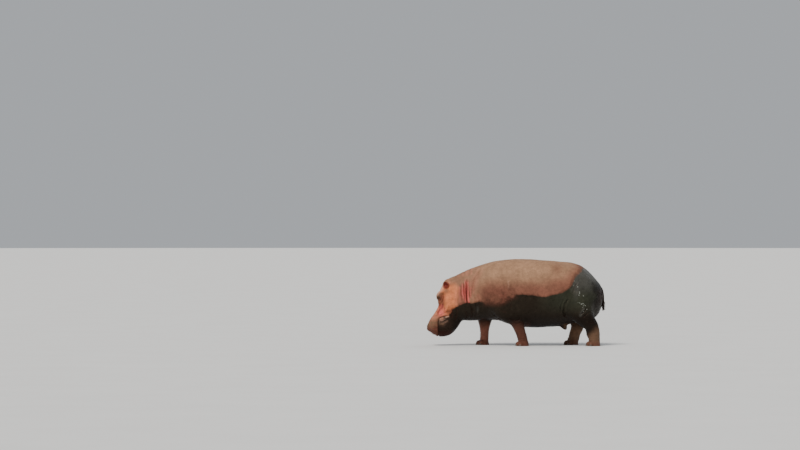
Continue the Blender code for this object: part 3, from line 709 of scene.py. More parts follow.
# Creases: the view, width, depth, how dark red (the skin's own red with painted shade), then the path.
folds = (
    # neck, from the jowl to the shoulder
    ("side", 0.0105, 0.022, 1.0, (
        (-0.826, 1.16), (-0.852, 1.06), (-0.862, 0.90), (-0.852, 0.77), (-0.82, 0.66),
    )),
    ("side", 0.0100, 0.009, 0.7, ((-0.898, 1.08), (-0.908, 0.96), (-0.896, 0.82))),
    ("side", 0.0110, 0.005, 0.4, ((-0.950, 1.03), (-0.956, 0.93), (-0.945, 0.82))),
    ("side", 0.0100, 0.008, 0.6, ((-0.800, 1.02), (-0.814, 0.90), (-0.806, 0.79))),
    ("side", 0.0130, 0.004, 0.2, ((-0.752, 1.12), (-0.768, 0.98), (-0.764, 0.84))),
    ("side", 0.0160, 0.007, 0.2, ((-0.995, 1.02), (-1.000, 0.90), (-0.985, 0.74), (-0.94, 0.60))),
    ("side", 0.0180, 0.012, 0.1, (
        (-0.600, 1.33), (-0.655, 1.23), (-0.712, 1.10), (-0.748, 0.98), (-0.750, 0.88),
    )),
    ("side", 0.0150, 0.016, 0.1, ((-0.735, 0.86), (-0.695, 0.72), (-0.680, 0.60), (-0.72, 0.50))),
    ("side", 0.0120, 0.009, 0.1, ((-0.690, 0.90), (-0.648, 0.76), (-0.628, 0.64))),
    ("side", 0.0130, 0.012, 0.1, ((-0.790, 0.70), (-0.765, 0.58), (-0.780, 0.47))),
    ("side", 0.0130, 0.012, 0.1, ((-0.885, 0.62), (-0.860, 0.53), (-0.850, 0.44))),
    ("above", 0.0140, 0.007, 0.2, ((-0.895, 0.0), (-0.890, 0.12), (-0.875, 0.22))),
    ("above", 0.0140, 0.006, 0.2, ((-0.800, 0.0), (-0.805, 0.13), (-0.800, 0.25))),
    ("above", 0.0150, 0.005, 0.1, ((-0.980, 0.0), (-0.970, 0.12), (-0.950, 0.20))),
    # cheek and muzzle
    ("cheek", 0.0060, 0.006, 1.0, ((0.345, 0.026), (0.420, 0.008), (0.490, -0.008), (0.560, -0.030))),
    ("cheek", 0.0055, 0.005, 1.0, ((0.350, -0.010), (0.420, -0.022), (0.480, -0.040), (0.530, -0.062))),
    ("cheek", 0.0060, 0.003, 0.5, ((0.385, 0.052), (0.450, 0.038), (0.515, 0.022))),
    ("cheek", 0.0060, 0.003, 0.4, ((0.400, -0.052), (0.450, -0.066), (0.490, -0.086))),
    ("cheek", 0.0120, 0.007, 0.3, ((0.560, -0.205), (0.500, -0.220), (0.440, -0.215), (0.385, -0.185))),
    ("cheek", 0.0140, 0.006, 0.2, ((0.600, -0.270), (0.520, -0.290), (0.440, -0.290), (0.360, -0.260))),
    ("face", 0.0070, 0.002, 0.2, ((0.640, 0.02), (0.634, 0.08), (0.650, 0.14))),
    ("face", 0.0080, 0.003, 0.2, ((0.706, 0.03), (0.700, 0.09), (0.722, 0.16))),
    # under the eye, across the cheek, the brow and the bridge of the nose
    ("cheek", 0.0060, 0.0045, 0.2, ((0.205, 0.050), (0.245, 0.030), (0.295, 0.036), (0.330, 0.072))),
    ("cheek", 0.0075, 0.0045, 0.2, ((0.190, 0.014), (0.250, -0.008), (0.315, 0.000), (0.360, 0.034))),
    ("cheek", 0.0090, 0.0045, 0.1, ((0.100, -0.105), (0.190, -0.140), (0.300, -0.150))),
    ("cheek", 0.0090, 0.0040, 0.1, ((0.090, -0.185), (0.190, -0.215), (0.310, -0.215))),
    ("cheek", 0.0080, 0.0040, 0.1, ((0.330, -0.100), (0.400, -0.130), (0.480, -0.120))),
    ("face", 0.0080, 0.0035, 0.1, ((0.105, -0.02), (0.110, 0.05), (0.130, 0.10))),
    ("face", 0.0080, 0.0035, 0.1, ((0.180, -0.02), (0.186, 0.05), (0.205, 0.09))),
    ("face", 0.0080, 0.0035, 0.1, ((0.360, -0.02), (0.368, 0.06), (0.395, 0.12))),
    ("face", 0.0075, 0.0035, 0.1, ((0.425, -0.02), (0.434, 0.07), (0.465, 0.13))),
    ("face", 0.0070, 0.0030, 0.1, ((0.490, -0.02), (0.500, 0.07), (0.530, 0.14))),
    ("face", 0.0070, 0.0025, 0.1, ((0.560, -0.02), (0.566, 0.08), (0.590, 0.15))),
    # round the nostrils and up from the lips
    ("face", 0.0060, 0.0045, 0.1, ((0.722, 0.130), (0.745, 0.166), (0.790, 0.172), (0.835, 0.145))),
    ("face", 0.0060, 0.0030, 0.1, ((0.720, 0.060), (0.752, 0.044), (0.800, 0.032), (0.845, 0.020))),
    ("cheek", 0.0050, 0.0030, 0.1, ((0.655, 0.005), (0.672, 0.050), (0.668, 0.105))),
    ("cheek", 0.0050, 0.0030, 0.1, ((0.725, -0.012), (0.738, 0.035), (0.732, 0.090))),
    ("cheek", 0.0050, 0.0030, 0.1, ((0.795, -0.032), (0.804, 0.018), (0.796, 0.070))),
    # lower lip
    ("cheek", 0.0060, 0.0070, 0.2, ((0.664, -0.030), (0.662, -0.070), (0.631, -0.109), (0.598, -0.150))),
    ("cheek", 0.0060, 0.0055, 0.2, ((0.736, -0.048), (0.724, -0.090), (0.698, -0.131), (0.660, -0.168))),
    # chest, shoulder and elbow
    ("side", 0.0160, 0.012, 0.1, ((-0.330, 0.66), (-0.260, 0.585), (-0.150, 0.560))),
    ("side", 0.0120, 0.010, 0.1, ((-0.170, 0.470), (-0.040, 0.440), (0.080, 0.480))),
    ("side", 0.0100, 0.007, 0.1, ((-0.140, 0.405), (-0.020, 0.385), (0.090, 0.415))),
    ("side", 0.0150, 0.008, 0.1, ((-0.260, 0.90), (-0.215, 0.78), (-0.225, 0.66))),
    ("side", 0.0140, 0.006, 0.1, ((-0.150, 0.84), (-0.110, 0.72), (-0.120, 0.62))),
    # flank, groin and thigh
    ("side", 0.0180, 0.016, 0.1, ((0.880, 0.84), (0.815, 0.70), (0.790, 0.58), (0.830, 0.47))),
    ("side", 0.0140, 0.009, 0.1, ((0.800, 0.80), (0.735, 0.66), (0.715, 0.54))),
    ("side", 0.0130, 0.014, 0.1, ((1.190, 0.660), (1.115, 0.590), (1.050, 0.520))),
    ("side", 0.0110, 0.008, 0.1, ((1.230, 0.600), (1.150, 0.530), (1.085, 0.470))),
    ("side", 0.0120, 0.008, 0.1, ((1.020, 1.10), (0.960, 0.98), (0.925, 0.86))),
    ("side", 0.0100, 0.008, 0.1, ((1.160, 0.430), (1.240, 0.400), (1.330, 0.420))),
    # rump
    ("rear", 0.0150, 0.007, 0.2, ((0.060, 0.98), (0.110, 0.90), (0.130, 0.78), (0.115, 0.66))),
    ("rear", 0.0150, 0.005, 0.1, ((0.085, 1.02), (0.170, 0.93), (0.215, 0.80), (0.210, 0.68))),
    ("rear", 0.0130, 0.008, 0.1, ((0.060, 0.60), (0.150, 0.555), (0.260, 0.560))),
    # chest between the forelegs, from the front
    ("front", 0.0150, 0.012, 0.2, ((0.22, 0.60), (0.16, 0.52), (0.06, 0.47))),
    ("below", 0.0140, 0.010, 0.2, ((-0.30, 0.0), (-0.32, 0.12), (-0.30, 0.22))),
    ("below", 0.0140, 0.010, 0.2, ((0.66, 0.10), (0.78, 0.13), (0.90, 0.12))),
)

creaseRings = (0.088, 0.122, 0.165, 0.215, 0.275)  # heights of the creases round the lower legs


def strokes(tree):
    # each crease on both sides, slightly apart in place so that the sides are not mirror copies
    for n, (view, width, depth, red, knots) in enumerate(folds):
        for side in sides:
            drift = np.random.default_rng(100 + 2 * n + side).normal(0, 0.006, (len(knots), 2))
            path = throwPath(tree, view, np.asarray(knots) + (0 if side < 0 else drift), side)
            if len(path) > 1:
                yield width, depth, red, path


def wandering(points):
    # a smooth drift of places that keeps the folds from running too straight
    return np.column_stack([latticeNoise(points, 0.14, seed) - 0.5 for seed in (31, 32, 33)]) * 2


def acrossFold(points, wander, path, width, reach):
    # which points lie near a path, how far across it once they have drifted, and how much the path's
    # ends fade there
    margin = width * reach
    near = np.nonzero(
        ((points > path.min(axis=0) - margin) & (points < path.max(axis=0) + margin)).all(axis=1)
    )[0]
    place = points[near] + wander[near] * min(0.018, width * 1.2)
    distance, share, _ = nearPath(place, path)
    return near, distance, ramp(share, 0, 0.22) * ramp(1 - share, 0, 0.22)


def legNearness(points, name):
    # 1 on the lower part of a leg, 0 above and away from it
    side, stations = legs[name]
    table = np.array(stations)[::-1]
    x = np.interp(points[:, 2], table[:, 2], table[:, 0]) + lengthShift
    y = np.interp(points[:, 2], table[:, 2], table[:, 1]) * side
    gap = np.hypot(points[:, 0] - x, points[:, 1] - y)
    return ramp(0.26 - gap, 0, 0.06)


def pushSwells(push, tree, points, wander):
    # each broad swell or hollow is a bell across its path; one on the mid line is laid by both sides
    for view, width, amount, knots in swells:
        for side in sides:
            path = throwPath(tree, view, knots, side)
            if len(path) > 1:
                near, distance, _ = acrossFold(points, wander, path, width, 2.4)
                centred = abs(np.asarray(knots)[:, 1]).max() < 0.001 and view in ("face", "above")
                push[near] += hill(distance, width) * amount * (0.5 if centred else 1)


def pushLumps(push, points):
    # three sizes of soft lumps, upright lines in front and rings round the legs, from noise
    x = points[:, 0] - lengthShift
    front = ramp(-0.25 - x, 0, 0.35)
    legness = sum(legNearness(points, name) for name in legs) * ramp(0.62 - points[:, 2], 0, 0.25)
    legness = np.clip(legness, 0, 1)
    faceness = ramp(-1.10 - x, 0, 0.12)
    bodyness = (1 - legness) * (1 - faceness)
    push += (latticeNoise(points, 0.24, 1) - 0.5) * 0.014 * bodyness
    push += (latticeNoise(points, 0.09, 2) - 0.5) * 0.005 * bodyness
    push += (latticeNoise(points, 0.035, 3) - 0.5) * 0.0018 * (1 - faceness * 0.5)
    warp = (latticeNoise(points, 0.15, 4)[:, None] - 0.5) * (0.06, 0, 0.03)
    uprightLines = lineNoise(points + warp, (0.055, 0.16, 0.26), 5, 0.06)
    push -= uprightLines * 0.0018 * front * bodyness
    ringLines = lineNoise(points, (0.09, 0.09, 0.024), 7, 0.07)
    push -= ringLines * 0.0014 * legness


def pushLegCreases(push, points):
    # a bell-shaped groove with a raised edge at each height, wobbling, and broken by noise
    wobble = (latticeNoise(points, 0.07, 9) - 0.5) * 0.034
    broken = ramp(latticeNoise(points, 0.06, 10), 0.30, 0.62)
    for name in legs:
        nearLeg = legNearness(points, name)
        for n, height in enumerate(creaseRings):
            depth = (0.0044 - 0.0006 * n) * broken
            level = points[:, 2] - height - wobble
            push -= nearLeg * (hill(level, 0.006) - 0.5 * hill(np.abs(level) - 0.013, 0.008)) * depth


def pushFolds(push, tree, points, wander):
    # each crease is a bell-shaped groove with a lower ridge on either side
    uneven = latticeNoise(points, 0.10, 34)
    for width, depth, _, path in strokes(tree):
        near, distance, ends = acrossFold(points, wander, path, width, 3.4)
        across = -hill(distance, width) + 0.42 * hill(distance - 2.0 * width, width)
        push[near] += across * depth * ends * (0.5 + uneven[near])


def sculpt(skin):
    # pushes the smooth skin in and out along its normals, then shapes the eyelids and the ears
    mesh = skin.data
    tree = BVHTree.FromObject(skin, bpy.context.evaluated_depsgraph_get())
    points, normals = readPoints(mesh), readNormals(mesh)
    wander = wandering(points)
    push = np.zeros(len(points))
    pushSwells(push, tree, points, wander)
    pushLumps(push, points)
    pushLegCreases(push, points)
    pushFolds(push, tree, points, wander)
    push += mouthPush(points)
    for side in sides:
        push += nostrilPush(tree, points, side)
    push *= ramp(points[:, 2], 0.0, 0.03) * (1 - tailNearness(points))
    points += normals * push[:, None]
    for side in sides:
        shapeLids(points, side)
        shapeEar(points, side)
    points[:, 2] = np.where(points[:, 2] < 0.004, 0, points[:, 2])
    writePoints(mesh, points)
    return tree


mouth = {
    "line": (  # along the face and towards the crown, from in front of the lips to the corner
        (0.980, -0.080), (0.900, -0.074), (0.860, -0.066), (0.760, -0.036), (0.680, -0.018),
        (0.620, -0.014), (0.575, -0.050), (0.548, -0.105), (0.534, -0.165),
    ),
    "gap": 0.015,
    "upperLip": 0.006,
    "lowerLip": 0.004,
}


def mouthAcross(points):
    # distance across the mouth's line, positive above it, and its fading at the corner
    along, _, crown = faceFrame(points)
    near = np.nonzero((along > 0.40) & (crown > -0.34))[0]
    path = pathThrough(mouth["line"], 40)
    distance, share, turn = nearPath(np.column_stack([along, crown])[near], path)
    return near, distance * -turn, ramp(1.02 - share, 0, 0.12)


def mouthPush(points):
    # a groove between the lips, the upper one rolled out over the lower
    near, across, ends = mouthAcross(points)
    push = np.zeros(len(points))
    lips = (
        -mouth["gap"] * hill(across, 0.0058)
        + mouth["upperLip"] * hill(across - 0.022, 0.018)
        + mouth["lowerLip"] * hill(across + 0.030, 0.018)
        - 0.004 * hill(across - 0.055, 0.014)
    )
    push[near] = lips * ends
    return push


nostril = {
    "slit": ((0.760, 0.112), (0.790, 0.106), (0.818, 0.088), (0.834, 0.066)),
    "width": 0.0085,
    "depth": 0.026,
    "rim": 0.007,
}


def nostrilPush(tree, points, side):
    # a bent slit sunk in the top of its mound, with a raised rim
    path = throwPath(tree, "face", nostril["slit"], side, 0.01)
    wander = np.zeros_like(points)
    near, distance, _ = acrossFold(points, wander, path, nostril["width"], 5)
    push = np.zeros(len(points))
    push[near] = nostril["rim"] * hill(distance - 0.020, 0.011) - nostril["depth"] * hill(
        distance, nostril["width"]
    )
    return push


lids = {
    "eyeball": 0.027,
    "thickness": 0.0040,
    "halfLength": 0.74,  # of the opening, as an angle at the eye's middle
    "upper": 0.42,
    "lower": 0.36,
}


def shapeLids(points, side):
    # skin round the eye lies on a ball just larger than it, and inside the almond between the lids
    # it drops behind it
    middle, gaze, nose, up = eyeFrame(side)
    offset = points - middle
    near = np.nonzero((np.abs(offset) < 0.11).all(axis=1))[0]
    offset = offset[near]
    radius = np.linalg.norm(offset, axis=1)
    out, ahead, above = offset @ gaze, offset @ nose, offset @ up
    polar = np.arccos(np.clip(out / radius, -1, 1))
    ball = lids["eyeball"] + lids["thickness"]
    lid = ball - 0.016 * ramp(polar, 1.1, 1.9)
    soft = 0.0035
    shaped = np.where(polar < 1.7, soft * np.logaddexp(radius / soft, lid / soft), radius)
    settle = ramp(0.75 - polar, 0, 0.35)
    shaped = shaped * (1 - settle) + np.minimum(shaped, ball + 0.001) * settle
    sideAngle, upAngle = np.arctan2(ahead, out), np.arctan2(above, out)
    stretch = np.clip(np.abs(sideAngle) / lids["halfLength"], 0, 1.6)
    edge = np.where(upAngle > 0, lids["upper"], lids["lower"]) * (1 - stretch**1.9)
    beyond = np.abs(upAngle) - edge
    isFront = out > 0
    opening = ramp(-beyond, -0.02, 0.09) * isFront
    rim = hill(beyond - 0.10, 0.09) * ramp(1.35 - stretch, 0, 0.35) * isFront
    shaped += 0.0022 * rim
    for gapAngle, depth, width in ((0.36, 0.0030, 0.07), (0.78, 0.0034, 0.10)):
        upperShare = np.where(upAngle > 0, 1.0, 0.6)
        ends = ramp(1.5 - stretch, 0, 0.5)
        shaped -= depth * upperShare * hill(beyond - gapAngle, width) * ends * isFront
    shaped = shaped * (1 - opening) + (lids["eyeball"] - 0.0045) * opening
    spread = np.hypot(ahead / 1.2, above)
    for distance, depth in ((0.050, 0.0036), (0.070, 0.0030)):
        facing = ramp(-above, 0.0, 0.03) + 0.5 * ramp(above, 0.01, 0.03)
        shaped -= depth * hill(spread - distance, 0.0070) * facing * ramp(out, -0.04, 0.0)
    points[near] = middle + offset * (shaped / radius)[:, None]


def shapeEar(points, side):
    # ribs running up inside the ear's cup
    root, across, opening, up = earFrame(side)
    offset = points - (root + up * earForm["bladeHeight"])
    near = np.nonzero(np.linalg.norm(offset, axis=1) < 0.07)[0]
    x, y, z = offset[near] @ across, offset[near] @ opening, offset[near] @ up
    inside = ramp(1 - np.hypot(x / 0.040, z / 0.052), 0, 0.35) * ramp(y, -0.022, -0.012)
    ribs = 0.0012 * np.sin(x * 380 + z * 40) * inside * ramp(z, -0.030, -0.005)
    points[near] += opening * ribs[:, None]


def nearEyes(points, reach):
    # which points lie within the reach of either eye's middle
    return np.any([
        np.linalg.norm(points - eyeFrame(side)[0], axis=1) < reach for side in sides
    ], axis=0)


def nearNostrils(points, reach):
    # which points lie within the reach of either nostril
    return np.any([
        np.linalg.norm(points - headPoint(0.80, side * 0.09, 0.15), axis=1) < reach for side in sides
    ], axis=0)


def makeSkin():
    # the smooth skin, cut finer round the eyes, nostrils and lips, sculpted, then thinned evenly
    skin = bodySkin()
    print("body skin", len(skin.data.vertices))
    for reach in skinMaking["eyeCuts"]:
        refine(skin, nearEyes(readPoints(skin.data), reach))
    points = readPoints(skin.data)
    near, across, _ = mouthAcross(points)
    lipLine = np.zeros(len(points), bool)
    lipLine[near] = np.abs(across) < skinMaking["lipCuts"]
    lipLine &= points[:, 0] < -1.0
    wide, close = skinMaking["nostrilCuts"]
    refine(skin, lipLine | nearNostrils(points, wide) | (earNearness(points) > 0.01))
    refine(skin, nearNostrils(readPoints(skin.data), close))
    smoothed(skin, "Ease", None, 2)
    applied(skin)
    print("refined skin", len(skin.data.vertices))
    tree = sculpt(skin)
    thin = skin.modifiers.new("Thin", "DECIMATE")
    skin.data.calc_loop_triangles()
    thin.ratio = skinMaking["triangles"] / len(skin.data.loop_triangles)
    applied(skin)
    skin.data.polygons.foreach_set("use_smooth", np.ones(len(skin.data.polygons), bool))
    print("sculpted skin", len(skin.data.polygons))
    return skin, tree


pigments = {  # linear colours that every tone of the hide is mixed from
    "dust": (0.34, 0.19, 0.11),
    "clay": (0.20, 0.075, 0.05),
    "pink": (0.80, 0.16, 0.14),
    "orange": (0.60, 0.19, 0.08),
    "pale": (0.60, 0.34, 0.24),
    "red": (0.10, 0.012, 0.007),
    "bark": (0.055, 0.030, 0.020),
    "sheenSlate": (0.060, 0.058, 0.050),
    "moss": (0.027, 0.029, 0.019),
    "soot": (0.006, 0.004, 0.003),
}


def mixed(first, second, share, strength=1.0):
    # the second pigment's share blended into the first, then lightened or darkened
    blend = [(1 - share) * a + share * b for a, b in zip(pigments[first], pigments[second])]
    return tuple(strength * level for level in blend)


def shaded(name, strength=1.0):
    # one pigment, lightened or darkened
    return mixed(name, name, 0.0, strength)


hide = {  # the tones of the dry and the wet hide by place
    "backTan": shaded("dust"),
    "flankPink": shaded("clay", 0.8),
    "flankRed": mixed("clay", "dust", 0.1),
    "neckBrown": mixed("dust", "clay", 0.4),
    "foldPink": mixed("clay", "red", 0.2),
    "cheekOrange": shaded("orange"),
    "paintedShadeBrown": shaded("bark"),
    "palePinkAndHighlight": shaded("pale"),
    "muzzleBrownAndHighlight": mixed("orange", "pale", 0.4, 0.85),
    "muzzleTan": shaded("dust", 0.45),
    "muzzleDark": shaded("clay", 0.6),
    "muzzlePink": shaded("pink"),
    "earRed": mixed("red", "pink", 0.1),
    "creaseRedAndShade": shaded("red"),
    "wetDarkAndCreaseShade": mixed("bark", "moss", 0.5, 0.4),
    "paintedWetSheen": shaded("sheenSlate"),
    "blackSpotAndShade": shaded("soot", 0.8),
    "wetGreen": shaded("moss"),
    "bellyShade": mixed("soot", "bark", 0.05),
    "wetJaw": mixed("soot", "bark", 0.25),
    "chinRed": shaded("red", 0.3),
    # painted shade and light on the legs: the forelegs are one clay, darker on the near left and lighter on
    # the far right; the far right hind leg is also painted lighter than the near left one, which differs in
    # tone as well
    "foreLegLeft": shaded("clay", 0.45),
    "foreLegRight": shaded("clay", 1.35),
    "hindLegLeft": mixed("bark", "dust", 0.25),
    "hindLegRight": shaded("dust", 0.55),
    "wetFoot": shaded("clay", 0.65),
    "dampRed": shaded("clay", 0.3),
    "lipGrey": shaded("pale", 0.4),
    "tailRed": shaded("clay", 0.1),
}

# The line between dry and wet hide in the side view, from the mouth's corner to the rump.
waterLine = (
    (-1.090, 0.600), (-1.010, 0.668), (-0.856, 0.729), (-0.772, 0.720), (-0.602, 0.752),
    (-0.339, 0.752), (-0.229, 0.788), (-0.127, 0.856), (-0.014, 0.880), (0.195, 0.859),
    (0.415, 0.839), (0.635, 0.873), (0.788, 0.914), (0.915, 1.008), (0.979, 1.139),
    (1.025, 1.232), (1.090, 1.285), (1.190, 1.370), (1.300, 1.560),
)


# Strokes of colour on the dry hide, seen from the side: the colour, half its width, its strength,
# then its path.
dryStrokes = (
    # dark red strokes along the creases: the skin's own red with painted shade
    ("creaseRedAndShade", 0.021, 0.90, ((-0.853, 1.05), (-0.862, 0.94), (-0.860, 0.84), (-0.850, 0.74))),
    # painted shade: a near-black line down the middle of the main neck crease
    ("blackSpotAndShade", 0.014, 0.90, ((-0.853, 1.09), (-0.862, 0.97), (-0.860, 0.86), (-0.852, 0.77))),
    ("muzzlePink", 0.013, 0.60, ((-0.818, 0.96), (-0.823, 0.86), (-0.815, 0.76), (-0.805, 0.69))),
    ("muzzlePink", 0.013, 0.60, ((-0.900, 1.00), (-0.908, 0.88), (-0.900, 0.76))),
    ("creaseRedAndShade", 0.009, 0.55, ((-0.880, 0.98), (-0.887, 0.88), (-0.880, 0.76))),
    ("creaseRedAndShade", 0.009, 0.45, ((-0.930, 0.96), (-0.938, 0.86), (-0.930, 0.76))),
    ("creaseRedAndShade", 0.020, 0.85, (
        (-1.240, 0.73), (-1.260, 0.65), (-1.303, 0.605), (-1.331, 0.565), (-1.336, 0.50),
    )),
    # painted shade: dark brown along the face's crease beside its red
    ("paintedShadeBrown", 0.013, 0.85, ((-1.245, 0.72), (-1.262, 0.65), (-1.303, 0.605), (-1.329, 0.565))),
    ("creaseRedAndShade", 0.011, 0.70, ((-1.300, 0.73), (-1.306, 0.67), (-1.300, 0.62))),
    ("creaseRedAndShade", 0.009, 0.50, ((-1.215, 0.66), (-1.225, 0.61), (-1.235, 0.55))),
    # painted shade: dark brown above the mouth's corner, towards the dark jaw
    ("paintedShadeBrown", 0.018, 0.75, ((-1.205, 0.572), (-1.160, 0.575), (-1.115, 0.592), (-1.080, 0.625))),
)

# The same for the wet hide: the lower lip, its folds with painted shade in one, a painted glint at the
# mouth's corner, and a painted wet sheen on the thigh.
wetStrokes = (
    ("muzzleBrownAndHighlight", 0.020, 0.50, ((-1.330, 0.468), (-1.285, 0.458), (-1.235, 0.470))),
    # painted shade: a dark line in the lower lip's crease
    ("wetDarkAndCreaseShade", 0.011, 0.90, ((-1.318, 0.412), (-1.270, 0.400), (-1.225, 0.420), (-1.180, 0.440))),
    ("muzzleTan", 0.011, 0.75, ((-1.316, 0.366), (-1.270, 0.364), (-1.225, 0.376))),
    ("lipGrey", 0.010, 0.70, ((-1.225, 0.392), (-1.190, 0.408), (-1.160, 0.430))),
    # painted glint: a light streak at the mouth's corner
    ("palePinkAndHighlight", 0.012, 0.75, ((-1.215, 0.482), (-1.178, 0.494), (-1.140, 0.506))),
    # painted wet sheen down the thigh
    ("paintedWetSheen", 0.022, 0.90, ((1.125, 0.66), (1.100, 0.60), (1.065, 0.54), (1.050, 0.48))),
)

# The pale brow, lightened further as a painted highlight, along the face and towards the crown.
browLine = ((0.060, 0.060), (0.140, 0.085), (0.215, 0.118), (0.262, 0.112))

# The trail of painted glints of water drops on the thigh, in the side view.
spray = {"path": ((0.93, 1.04), (0.99, 0.92), (1.06, 0.79), (1.12, 0.64)), "width": 0.088}


def waterMark(points):
    # distance above the line between dry and wet, negative below it, in the side view
    lips = [headPoint(a, 0, c)[[0, 2]] - (lengthShift, 0) for a, c in mouth["line"]]
    path = pathThrough(np.concatenate([lips, waterLine]), 90)
    flat = np.column_stack([points[:, 0] - lengthShift, points[:, 2]])
    distance, _, turn = nearPath(flat, path)
    return distance * turn


def surveyed(points):
    # what the painting asks of every point: its place on the body and on the face, its height above
    # the line between dry and wet, and two drifting noises
    x, y, z = (points - (lengthShift, 0, 0)).T
    along, out, crown = faceFrame(points)
    onFace = ramp(-1.02 - x, 0, 0.12) * ramp(crown, -0.36, -0.28)
    return SimpleNamespace(
        points=points, x=x, y=y, z=z, along=along, out=out, crown=crown, onFace=onFace,
        onMuzzle=ramp(along, 0.5, 0.6) * onFace, water=waterMark(points),
        patches=latticeNoise(points, 0.30, 21), blots=latticeNoise(points, 0.12, 22),
    )


def blendIn(colour, name, share):
    # the colour moved towards the named tone by the share
    return colour + (np.array(hide[name]) - colour) * share[:, None]


def spotOn(colour, name, strength, at, middle, reach, within=1.0):
    # an oval in the side view that fades from its middle as a bell
    gap = np.hypot((at.x - middle[0]) / reach[0], (at.z - middle[1]) / reach[1])
    return blendIn(colour, name, strength * hill(gap, 1.0) * within)


def strokedOn(colour, strokeTable, at):
    # each stroke fades away from its path as a bell, and towards the path's ends
    for name, width, strength, knots in strokeTable:
        distance, share, _ = nearPath(np.column_stack([at.x, at.z]), pathThrough(knots, 16))
        ends = ramp(share, 0, 0.2) * ramp(1 - share, 0, 0.2)
        colour = blendIn(colour, name, strength * ends * hill(distance, width))
    return colour


def foldMarks(points, tree):
    # how deep in a red crease each point lies, and how much on the pale ridge beside one; the crease's dark
    # red is partly painted shade
    crease, ridge = np.zeros(len(points)), np.zeros(len(points))
    wander = wandering(points)
    for width, _, red, path in strokes(tree):
        near, distance, ends = acrossFold(points, wander, path, width, 3.4)
        crease[near] = np.maximum(crease[near], red * ends * hill(distance, width * 1.35))
        beside = min(1, red * 1.4) * ends * hill(distance - 2.4 * width, width * 1.2)
        ridge[near] = np.maximum(ridge[near], beside)
    return np.clip(crease, 0, 1), np.clip(ridge, 0, 1)


def earInside(points):
    # 1 in the cups of the ears
    inside = np.zeros(len(points))
    for side in sides:
        root, across, opening, up = earFrame(side)
        offset = points - (root + up * earForm["bladeHeight"])
        x, y, z = offset @ across, offset @ opening, offset @ up
        within = ramp(1.05 - np.hypot(x / 0.040, z / 0.054), 0, 0.3)
        inside = np.maximum(inside, within * ramp(y, -0.030, -0.018) * (np.abs(y) < 0.04))
    return inside


def dryBody(at):
    # tan on the back, pink on the flank, redder near the water's line, brown on the neck
    upward = at.z + (at.patches - 0.5) * 0.14 + (at.blots - 0.5) * 0.10
    dry = np.tile(hide["flankPink"], (len(at.points), 1))
    dry = blendIn(dry, "backTan", ramp(upward, 0.92, 1.26))
    dry = spotOn(dry, "flankPink", 0.5, at, (0.67, 1.30), (0.10, 0.10))
    dry = blendIn(dry, "neckBrown", 0.85 * ramp(-0.50 - at.x, 0, 0.22) * (1 - at.onFace))
    nearWater = ramp(0.24 - at.water + (at.blots - 0.5) * 0.1, 0, 0.22) * ramp(at.x, -0.70, -0.45)
    dry = blendIn(dry, "flankRed", 0.85 * nearWater)
    dry = spotOn(dry, "flankRed", 0.7, at, (0.64, 1.04), (0.175, 0.14))
    return blendIn(dry, "foldPink", 0.85 * hill(at.x + 0.90, 0.085) * ramp(1.10 - at.z, 0, 0.15))


def dryFace(dry, at):
    # orange cheek, painted shade under the brow and eye, pale brow with a painted highlight, a painted
    # highlight on the nape, then the tones of the muzzle
    cheek = ramp(-0.955 - at.x + (at.blots - 0.5) * 0.07, 0, 0.11) * ramp(1.10 - at.z, 0, 0.13)
    dry = blendIn(dry, "cheekOrange", cheek)
    # painted shade: dark brown in the hollow below the brow and in front of the cheek, and a spot under the
    # brow
    hollow = ramp(-1.175 - at.x, 0, 0.09) * ramp(at.z, 0.62, 0.72) * ramp(0.93 - at.z, 0, 0.05)
    dry = blendIn(dry, "paintedShadeBrown", 0.75 * hollow * ramp(np.abs(at.out), 0.03, 0.14))
    dry = spotOn(dry, "paintedShadeBrown", 0.45, at, (-1.18, 0.908), (0.048, 0.024), at.onFace)
    middle = ramp(0.14 - np.abs(at.out), 0, 0.09) * at.onFace * ramp(0.58 - at.along, 0, 0.15)
    dry = blendIn(dry, "neckBrown", 0.75 * middle)
    # the pale pink brow, partly a painted highlight on its ridge
    browGap = nearPath(np.column_stack([at.along, at.crown]), pathThrough(browLine, 12))[0]
    brow = hill(browGap, 0.028) * ramp(np.abs(at.out), 0.05, 0.13) * at.onFace
    dry = blendIn(dry, "palePinkAndHighlight", 0.75 * brow)
    # painted highlight: a light spot on the nape behind the ear
    dry = spotOn(dry, "muzzleBrownAndHighlight", 0.7, at, (-1.145, 1.07), (0.040, 0.040))
    forehead = hill(np.hypot(at.along - 0.120, at.crown + 0.010), 0.040)
    dry = blendIn(dry, "neckBrown", 0.7 * forehead * at.onFace)
    dry = blendIn(dry, "muzzleBrownAndHighlight", ramp(at.along, 0.46, 0.60) * at.onFace)
    dry = spotOn(dry, "muzzlePink", 0.8, at, (-1.285, 0.555), (0.055, 0.0611), at.onFace)
    dry = blendIn(dry, "muzzleTan", ramp(0.52 - at.z, 0, 0.14) * at.onMuzzle)
    underside = ramp(0.385 - at.z + (at.blots - 0.5) * 0.06, 0, 0.14)
    underside += 0.5 * ramp(at.x, -1.41, -1.33) * ramp(0.52 - at.z, 0, 0.1)
    return blendIn(dry, "muzzleDark", np.clip(underside, 0, 1) * at.onMuzzle)


